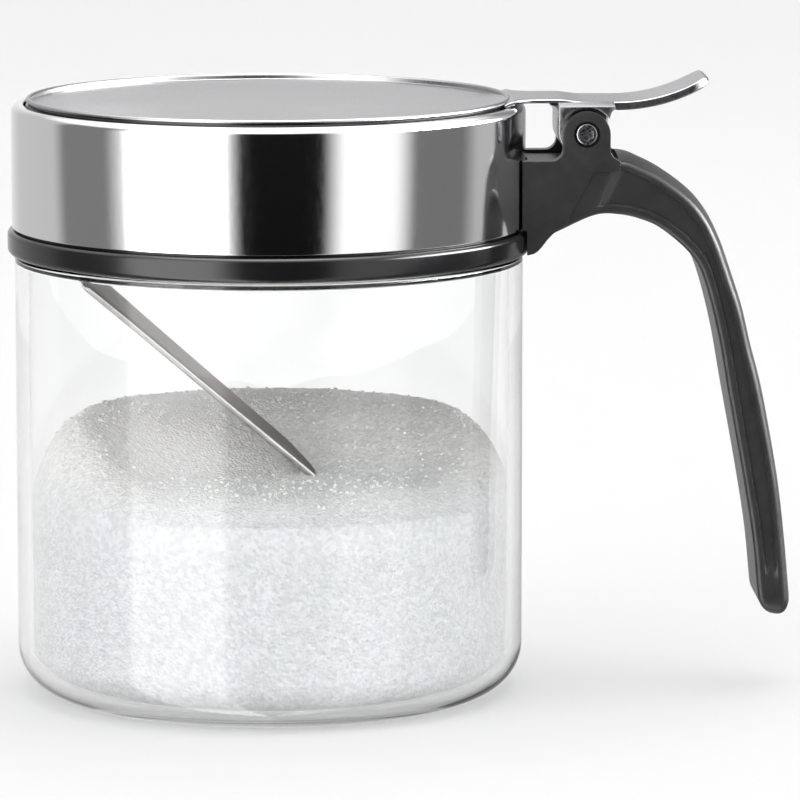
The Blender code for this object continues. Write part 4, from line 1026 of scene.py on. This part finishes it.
def lid_casting():
    """The lid: a tray with a round rim and below it a groove painted black as shade, arm, hood, knuckle and
    bosses.
    """
    crest = RIM_WIDTH / 2
    foot = 0.2 * MM
    profile = [(0, PANEL_Z), (DISC_RADIUS - RIM_WIDTH - foot, PANEL_Z)]
    profile += arc(DISC_RADIUS - RIM_WIDTH - foot, PANEL_Z + foot, foot, 270, 360, 4)[1:]
    profile += arc(DISC_RADIUS - crest, RIM_TOP - crest, crest, 180, 0, 14)
    groove = DISC_RADIUS - GROOVE_DEPTH
    profile += [(DISC_RADIUS, GROOVE_TOP), (groove, GROOVE_TOP)]
    profile += [(groove, GROOVE_LOW), (DISC_RADIUS, GROOVE_LOW)]
    profile += [(DISC_RADIUS, DISC_BOTTOM + foot), (DISC_RADIUS - foot, DISC_BOTTOM), (0, DISC_BOTTOM)]
    casting = turned("lid_casting", profile, 2 * ROUND_STEPS)
    weld(casting, arm_and_lever(), hood(), knuckle())
    for number, (x, y) in enumerate(LID_SCREWS):
        boss_end = DISC_BOTTOM - BOSS_LENGTH
        boss = rod(f"boss_{number}", BOSS_RADIUS, (x, y, boss_end), (x, y, PANEL_Z - 0.3 * MM))
        soften(boss, 0.2 * MM, 2)
        weld(casting, boss)
        cut(casting, rod(f"tap_{number}", SCREW_HOLE, (x, y, boss_end - 2 * MM), (x, y, boss_end + BOSS_TAP)))
    wide = Vector((0, KNUCKLE_HALF + 2 * MM, 0))
    cut(casting, rod("lid_bore", PIN_RADIUS + PIN_GAP, HINGE - wide, HINGE + wide))
    smooth(casting, 32)
    hand_in(casting, "lid", FINISHES["satin_metal"], "satin_metal", "lid_lever")
    # Painted shade: the groove's faces take the black plastic finish, so that they read as a black shadow line
    # under the rim.
    casting.data.materials.append(FINISHES["gloss_black"])
    for face in casting.data.polygons:
        level, out = face.center.z, face.center.xy.length
        if GROOVE_LOW < level < GROOVE_TOP and groove - 0.05 * MM < out < DISC_RADIUS - 0.05 * MM:
            face.material_index = 1


lid_casting()

# Plug and its seal
PLUG_TOP = DISC_BOTTOM - 0.3 * MM
PLUG_FLANGE_RADIUS = COLLAR_BORE + 2.5 * MM
PLUG_FLANGE_BOTTOM = FLANGE_TOP + 0.3 * MM
PLUG_BOTTOM = PLUG_LOW.z
SEAL_BACK = SEAL_LOW.z - 0.3 * MM
SEAL_TOP_ROOM = SEAL_HIGH.z + 0.3 * MM
SEAL_DEPTH = 1.0 * MM


def plug_moulding():
    """Black plug: flange, groove for the seal, rounded foot, shallow ring below, pockets for the bosses."""
    nip = 0.3 * MM
    edge = 0.8 * MM
    groove = PLUG_RADIUS - SEAL_DEPTH
    profile = [(0, PLUG_TOP), (PLUG_FLANGE_RADIUS - nip, PLUG_TOP), (PLUG_FLANGE_RADIUS, PLUG_TOP - nip)]
    profile += [(PLUG_FLANGE_RADIUS, PLUG_FLANGE_BOTTOM + nip)]
    profile += [(PLUG_FLANGE_RADIUS - nip, PLUG_FLANGE_BOTTOM), (PLUG_RADIUS, PLUG_FLANGE_BOTTOM)]
    profile += [(PLUG_RADIUS, SEAL_TOP_ROOM), (groove, SEAL_TOP_ROOM)]
    profile += [(groove, SEAL_BACK), (PLUG_RADIUS, SEAL_BACK)]
    profile += arc(PLUG_RADIUS - edge, PLUG_BOTTOM + edge, edge, 0, -90, 5)
    ring = PLUG_RADIUS - 4.2 * MM
    profile += [(ring, PLUG_BOTTOM), (ring - nip, PLUG_BOTTOM + nip), (ring - 3 * nip, PLUG_BOTTOM)]
    profile += [(0, PLUG_BOTTOM)]
    plug = turned("plug_moulding", profile)
    for number, (x, y) in enumerate(LID_SCREWS):
        pocket = DISC_BOTTOM - BOSS_LENGTH - 0.3 * MM
        high = PLUG_TOP + 2 * MM
        cut(
            plug,
            rod(f"pocket_{number}", BOSS_RADIUS + 0.3 * MM, (x, y, pocket), (x, y, high)),
            rod(f"plug_hole_{number}", SCREW_HOLE, (x, y, PLUG_BOTTOM - 2 * MM), (x, y, high)),
        )
    smooth(plug)
    hand_in(plug, "lid", FINISHES["gloss_black"], "gloss_black", "lid_plug")


def plug_seal():
    """Silicone seal with two soft lips that wipe the bore."""
    low, high = SEAL_LOW.z, SEAL_HIGH.z
    inner = PLUG_RADIUS - SEAL_DEPTH + 0.3 * MM
    lip = SEAL_HIGH.x
    bead = (high - low) / 4
    profile = [(inner, low), *arc(lip - bead, low + bead, bead, -90, 70, 5)]
    profile += [(lip - bead * 0.9, (low + high) / 2), *arc(lip - bead, high - bead, bead, -70, 90, 5)]
    profile += [(inner, high)]
    seal = turned("plug_seal", profile)
    smooth(seal, 50)
    hand_in(seal, "lid", FINISHES["seal"], "seal", "lid_gasket")


plug_moulding()
plug_seal()

# Ladle
STRIP_THICK = 1.0 * MM
STRIP_EDGE = 0.3 * MM
STRIP_BEND = 2.4 * MM
FOOT_TOP = PLUG_BOTTOM - 0.3 * MM
FOOT_LENGTH = 13.5 * MM
FOOT_HALF = 8.5 * MM
FOOT_CORNER = 2.5 * MM
LEG_BOTTOM = JAR_SHOULDER - 3.3 * MM
LEG_HALF = 9.5 * MM
SHANK_HALF = 10.4 * MM
SHANK_END_HALF = 5.6 * MM
SHANK_ANGLE = math.radians(41.2)
SHANK_END_GAP = 17.6 * MM
SHANK_IN_BOWL = 2.5 * MM
SHANK_LENGTH = (JAR_RADIUS - JAR_WALL - SHANK_END_GAP - LEG_X) / math.cos(SHANK_ANGLE)
BOWL_RADIUS = 9.0 * MM
BOWL_DEPTH = 7.2 * MM
BOWL_WALL = 0.8 * MM


def ladle():
    """Ladle of steel strip: foot with corners cut round, leg, slanted shank and the pressed bowl."""
    level = FOOT_TOP - STRIP_THICK / 2
    start = LEG_X + FOOT_LENGTH
    path, halves = [], []
    for i in range(7):
        inset = FOOT_CORNER * (1 - i / 6)
        path.append(Vector((start - FOOT_CORNER * i / 6, level)))
        halves.append(FOOT_HALF - FOOT_CORNER + math.sqrt(max(0.0, FOOT_CORNER**2 - inset**2)) + 0.02 * MM)
    for x, z in arc(LEG_X + STRIP_BEND, level - STRIP_BEND, STRIP_BEND, 90, 180, 10):
        path.append(Vector((x, z)))
        halves.append(FOOT_HALF)
    turn = 90 - math.degrees(SHANK_ANGLE)
    trim = STRIP_BEND * math.tan(math.radians(turn) / 2)
    top = level - STRIP_BEND
    bottom = LEG_BOTTOM + STRIP_BEND + trim
    for i in range(1, 9):
        path.append(Vector((LEG_X, top + (bottom - top) * i / 8)))
        halves.append(FOOT_HALF + (LEG_HALF - FOOT_HALF) * ease(i / 8))
    bend = arc(LEG_X + STRIP_BEND, LEG_BOTTOM + trim, STRIP_BEND, 180, 180 + turn, 10)
    for number, (x, z) in enumerate(bend):
        path.append(Vector((x, z)))
        halves.append(LEG_HALF + (SHANK_HALF - LEG_HALF) * ease(number / 10))
    corner = Vector((LEG_X, LEG_BOTTOM))
    slant = Vector((math.cos(SHANK_ANGLE), -math.sin(SHANK_ANGLE)))
    for i in range(1, 25):
        share = 0.05 + 0.95 * i / 24
        path.append(corner + slant * (SHANK_LENGTH + SHANK_IN_BOWL) * share)
        halves.append(SHANK_HALF + (SHANK_END_HALF - SHANK_HALF) * min(1.0, share * 1.04))
    piece = strip("ladle", path, halves, [STRIP_THICK] * len(path), STRIP_EDGE)
    turns = [math.pi / 2 * i / 16 for i in range(17)]
    outside = [(BOWL_RADIUS * math.cos(t), -BOWL_DEPTH * math.sin(t)) for t in turns[:-1]]
    outside += [(0, -BOWL_DEPTH)]
    thin, deep = BOWL_RADIUS - BOWL_WALL, BOWL_DEPTH - BOWL_WALL
    inside = [(thin * math.cos(t), -deep * math.sin(t)) for t in turns[:-1]] + [(0, -deep)]
    lip = arc(BOWL_RADIUS - BOWL_WALL / 2, 0, BOWL_WALL / 2, 180, 0, 6)
    bowl = turned("ladle_bowl", inside[::-1] + lip[1:-1] + outside, 96)
    square = Vector((math.sin(SHANK_ANGLE), 0, math.cos(SHANK_ANGLE)))
    centre = Vector((LEG_X, 0, LEG_BOTTOM)) + Vector((slant.x, 0, slant.y)) * SHANK_LENGTH
    centre += square * (BOWL_RADIUS - BOWL_WALL / 2)
    tilt = Matrix.Rotation(math.pi / 2 + SHANK_ANGLE - math.pi, 4, "Y")
    bowl.data.transform(Matrix.Translation(centre) @ tilt)
    weld(piece, bowl)
    for side in (-1, 1):
        place = Vector((SPOON_SCREW_X, side * SPOON_SCREW_Y, FOOT_TOP))
        up = Vector((0, 0, 3 * MM))
        cut(piece, rod(f"foot_hole_{side}", SCREW_HOLE, place - up, place + up))
    smooth(piece, 40)
    hand_in(piece, "lid", FINISHES["spoon_steel"], "spoon_steel", "spoon")


ladle()

# Screws
SCREW_RADIUS = 1.15 * MM
SCREW_HEAD = 2.1 * MM
SCREW_HEAD_TALL = 1.0 * MM
HANDLE_SCREW_LENGTH = 9.0 * MM
CROSS_WIDTH = 0.5 * MM
CROSS_LENGTH = 2.3 * MM
CROSS_DEPTH = 0.55 * MM
HEX_RADIUS = 1.15 * MM
HEX_DEPTH = 1.4 * MM
SCREW_PITCH = 0.8 * MM
SCREW_THREAD_DEPTH = 0.12 * MM


def screw(name, length, radius, head, head_tall, drive):
    """A screw along Z, its head's flat at the origin and its point upwards, with rings of thread."""
    round_edge = min(0.3 * MM, head_tall * 0.4)
    profile = [(0, 0), (head - round_edge, 0), *arc(head - round_edge, round_edge, round_edge, -90, 0, 5)[1:]]
    profile += [(head, head_tall), (radius, head_tall)]
    run = head_tall + 0.4 * MM
    while run + SCREW_PITCH < head_tall + length - 0.3 * MM:
        profile += [(radius, run), (radius - SCREW_THREAD_DEPTH, run + SCREW_PITCH / 2)]
        run += SCREW_PITCH
    profile += [(radius, run), (radius, head_tall + length - 0.3 * MM), (radius * 0.75, head_tall + length)]
    profile += [(0, head_tall + length)]
    made = turned(name, profile, SMALL_STEPS)
    if drive == "hex":
        cut(made, rod("hex_socket", HEX_RADIUS, (0, 0, -HEX_DEPTH), (0, 0, HEX_DEPTH), 6))
    else:
        for across, along in ((CROSS_WIDTH, CROSS_LENGTH), (CROSS_LENGTH, CROSS_WIDTH)):
            low, high = (-across / 2, -along / 2, -CROSS_DEPTH), (across / 2, along / 2, CROSS_DEPTH)
            cut(made, block("cross_slot", low, high))
    return made


def seat_screw(made, place, turn, body, *nodes):
    """Stands a screw at its place and gives it its finish."""
    made.data.transform(Matrix.Translation(place) @ turn)
    smooth(made, 32)
    hand_in(made, body, FINISHES["screw_steel"], "screw_steel", *nodes)


def screws():
    """The two handle screws, the ladle's two, the plug's one, the hinge pin and its nut."""
    seat = math.sqrt((NECK_RADIUS + 0.3 * MM) ** 2 - (HANDLE_SCREW_Y - SCREW_HEAD) ** 2)
    quarter = Matrix.Rotation(math.pi / 2, 4, "Y")
    for side, hand in ((-1, "left"), (1, "right")):
        name = f"handle_screw_{hand}.look"
        made = screw(name, HANDLE_SCREW_LENGTH, SCREW_RADIUS, SCREW_HEAD, SCREW_HEAD_TALL, "cross")
        place = Vector((seat, side * HANDLE_SCREW_Y, HANDLE_SCREW_Z))
        seat_screw(made, place, quarter, "cap", f"handle_screw_{hand}")
    upright = Matrix.Identity(4)
    reach = DISC_BOTTOM - BOSS_LENGTH + 2.6 * MM
    for name, (x, y) in zip(("spoon_screw_left", "spoon_screw_right", "plug_screw"), LID_SCREWS):
        under = PLUG_BOTTOM - 0.3 * MM if name == "plug_screw" else FOOT_TOP - STRIP_THICK - 0.3 * MM
        made = screw(f"{name}.look", reach - under, SCREW_RADIUS, SCREW_HEAD, SCREW_HEAD_TALL, "cross")
        seat_screw(made, Vector((x, y, under - SCREW_HEAD_TALL)), upright, "lid", name)
    head_top = BRACKET_HALF - PIN_GAP
    shank = head_top - PIN_HEAD_DEPTH + BRACKET_HALF - PIN_HEAD_DEPTH - 2 * PIN_GAP
    pin = screw("hinge_pin", shank, PIN_RADIUS, PIN_HEAD_RADIUS, PIN_HEAD_DEPTH, "hex")
    away = Matrix.Rotation(-math.pi / 2, 4, "X")
    seat_screw(pin, HINGE + Vector((0, -head_top, 0)), away, "cap", "hinge_screw")
    bore = 1.2 * MM
    nip = 0.2 * MM
    tall = PIN_HEAD_DEPTH
    profile = [(bore, 0), (bore + nip, -nip), (PIN_HEAD_RADIUS - nip, -nip), (PIN_HEAD_RADIUS, 0)]
    profile = [(r, z + nip) for r, z in profile] + [(PIN_HEAD_RADIUS, tall), (bore, tall)]
    nut = turned("hinge_nut.look", profile, SMALL_STEPS)
    towards = Matrix.Rotation(math.pi / 2, 4, "X")
    seat_screw(nut, HINGE + Vector((0, head_top, 0)), towards, "cap", "hinge_nut")


screws()

# Floor and light
FLOOR_SIZE = 6.0
TABLE_GLOW = 0.36
# Studio round the jar, in degrees from the camera's side towards the right, and how bright each stretch is
STUDIO = (
    (-180, 0.95), (-150, 0.62), (-112, 0.60), (-104, 0.22), (-78, 0.22), (-68, 0.9), (-65, 4.0),
    (-23, 4.0), (-19, 0.9), (-13, 0.006), (23, 0.006), (33, 1.3), (58, 1.2), (68, 0.19), (96, 0.19),
    (106, 0.52), (135, 0.55), (150, 0.24), (170, 0.4), (180, 0.95),
)
STUDIO_PEAK = 4.0
CEILING = 2.0
SIDE_LAMP = 26.0
TOP_LAMP = 7.0
# Where each of them begins and is full, along the direction's own X or Z
CEILING_RISE = (0.45, 0.75)
SIDE_LAMP_RIGHT = (0.78, 0.88)
SIDE_LAMP_RISE = (0.10, 0.16)
TOP_LAMP_RISE = (0.86, 0.93)
BACKGROUND = 0.93
GLASS_FRONT = 3.1
GLASS_BACK = 1.6
FILL = 0.75


def studio_sky():
    """Upright stretches of white card and dark cloth that the metal shows, in a plain pale room."""
    world = bpy.data.worlds.new("studio")
    bpy.context.scene.world = world
    world.use_nodes = True
    tree = world.node_tree
    tree.nodes.clear()

    def node(kind, *sources, **settings):
        made = tree.nodes.new(kind)
        for key, value in settings.items():
            setattr(made, key, value)
        for index, source in enumerate(sources):
            if isinstance(source, bpy.types.NodeSocket):
                tree.links.new(source, made.inputs[index])
            elif source is not None:
                made.inputs[index].default_value = source
        return made

    def plain(bright):
        return node("ShaderNodeBackground", (bright, bright, bright, 1)).outputs[0]

    def choose(share, first, second):
        return node("ShaderNodeMixShader", share, first, second).outputs[0]

    coordinates = node("ShaderNodeTexCoord")
    parts = node("ShaderNodeSeparateXYZ", coordinates.outputs["Generated"])
    back = node("ShaderNodeMath", parts.outputs["Y"], -1.0, operation="MULTIPLY")
    angle = node("ShaderNodeMath", parts.outputs["X"], back.outputs[0], operation="ARCTAN2")
    share = node("ShaderNodeMapRange", angle.outputs[0], -math.pi, math.pi)
    ramp = node("ShaderNodeValToRGB", share.outputs[0])
    stops = ramp.color_ramp.elements
    for index, (degrees, bright) in enumerate(STUDIO):
        stop = stops[index] if index < 2 else stops.new((degrees + 180) / 360)
        stop.position = (degrees + 180) / 360
        level = bright / STUDIO_PEAK
        stop.color = (level, level, level, 1)
    walls = node("ShaderNodeBackground", ramp.outputs["Color"], STUDIO_PEAK).outputs[0]
    high = node("ShaderNodeMapRange", parts.outputs["Z"], *CEILING_RISE).outputs[0]
    ray = node("ShaderNodeLightPath")
    room = choose(high, walls, plain(CEILING))
    to_right = node("ShaderNodeMapRange", parts.outputs["X"], *SIDE_LAMP_RIGHT).outputs[0]
    raised = node("ShaderNodeMapRange", parts.outputs["Z"], *SIDE_LAMP_RISE).outputs[0]
    lamp_share = node("ShaderNodeMath", to_right, raised, operation="MULTIPLY").outputs[0]
    room = choose(lamp_share, room, plain(SIDE_LAMP))
    overhead = node("ShaderNodeMapRange", parts.outputs["Z"], *TOP_LAMP_RISE).outputs[0]
    room = choose(overhead, room, plain(TOP_LAMP))
    lit = choose(ray.outputs["Is Glossy Ray"], plain(FILL), room)
    front = node("ShaderNodeMapRange", parts.outputs["Y"], 0.3, -0.3).outputs[0]
    inside = choose(front, plain(GLASS_BACK), plain(GLASS_FRONT))
    clear = choose(ray.outputs["Is Transmission Ray"], lit, inside)
    seen = choose(ray.outputs["Is Camera Ray"], clear, plain(BACKGROUND))
    node("ShaderNodeOutputWorld", seen)


def floor():
    """A plain pale table top that doesn't show in the metal."""
    deselect()
    bpy.ops.mesh.primitive_plane_add(size=FLOOR_SIZE, location=(0, 0, 0))
    top = settle(bpy.context.object, "table_top")
    recipe = Recipe("table_top", Roughness=0.9, Specular_IOR_Level=0.1, Emission_Strength=TABLE_GLOW)
    cloud = recipe.speckle(0.5, detail=2.0)
    recipe.feed("Base Color", recipe.shades(cloud, (0.3, (0.54, 0.54, 0.54)), (0.7, (0.56, 0.56, 0.56))))
    top.data.materials.append(recipe.material)
    recipe.shader.inputs["Emission Color"].default_value = (1, 1, 1, 1)
    top.visible_glossy = False


def lamp(name, place, size, power, aim=(0, 0, 0.05)):
    """A soft square lamp that only lights, and isn't seen itself."""
    light = bpy.data.lights.new(name, "AREA")
    light.size = size
    light.energy = power
    made = bpy.data.objects.new(name, light)
    bpy.context.scene.collection.objects.link(made)
    made.location = place
    made.rotation_euler = (Vector(aim) - Vector(place)).to_track_quat("-Z", "Y").to_euler()
    made.visible_camera = False
    made.visible_glossy = False
    made.visible_transmission = False


studio_sky()
floor()
lamp("lamp_over", (0.2, 0.1, 1.2), 1.0, 5.0)
lamp("lamp_left", (-0.9, -0.7, 0.6), 0.7, 3.0)
bpy.context.scene.view_settings.view_transform = "Standard"


def place_camera():
    """A long lens a little above the lid, turned to the handle's side so that the whole object fits."""
    lens = bpy.data.cameras.new("camera")
    lens.sensor_fit = "HORIZONTAL"
    lens.sensor_width = 36.0
    lens.lens = FOCAL_PIXELS / IMAGE_PIXELS * lens.sensor_width
    lens.clip_end = 20.0
    camera = bpy.data.objects.new("camera", lens)
    bpy.context.scene.collection.objects.link(camera)
    out = CAMERA_DISTANCE * math.cos(CAMERA_PITCH)
    camera.location = (
        -out * math.sin(CAMERA_AZIMUTH),
        -out * math.cos(CAMERA_AZIMUTH),
        CAMERA_AIM_HEIGHT + CAMERA_DISTANCE * math.sin(CAMERA_PITCH),
    )
    camera.rotation_euler = (math.pi / 2 - CAMERA_PITCH, 0, CAMERA_YAW - CAMERA_AZIMUTH)
    bpy.context.scene.camera = camera


place_camera()
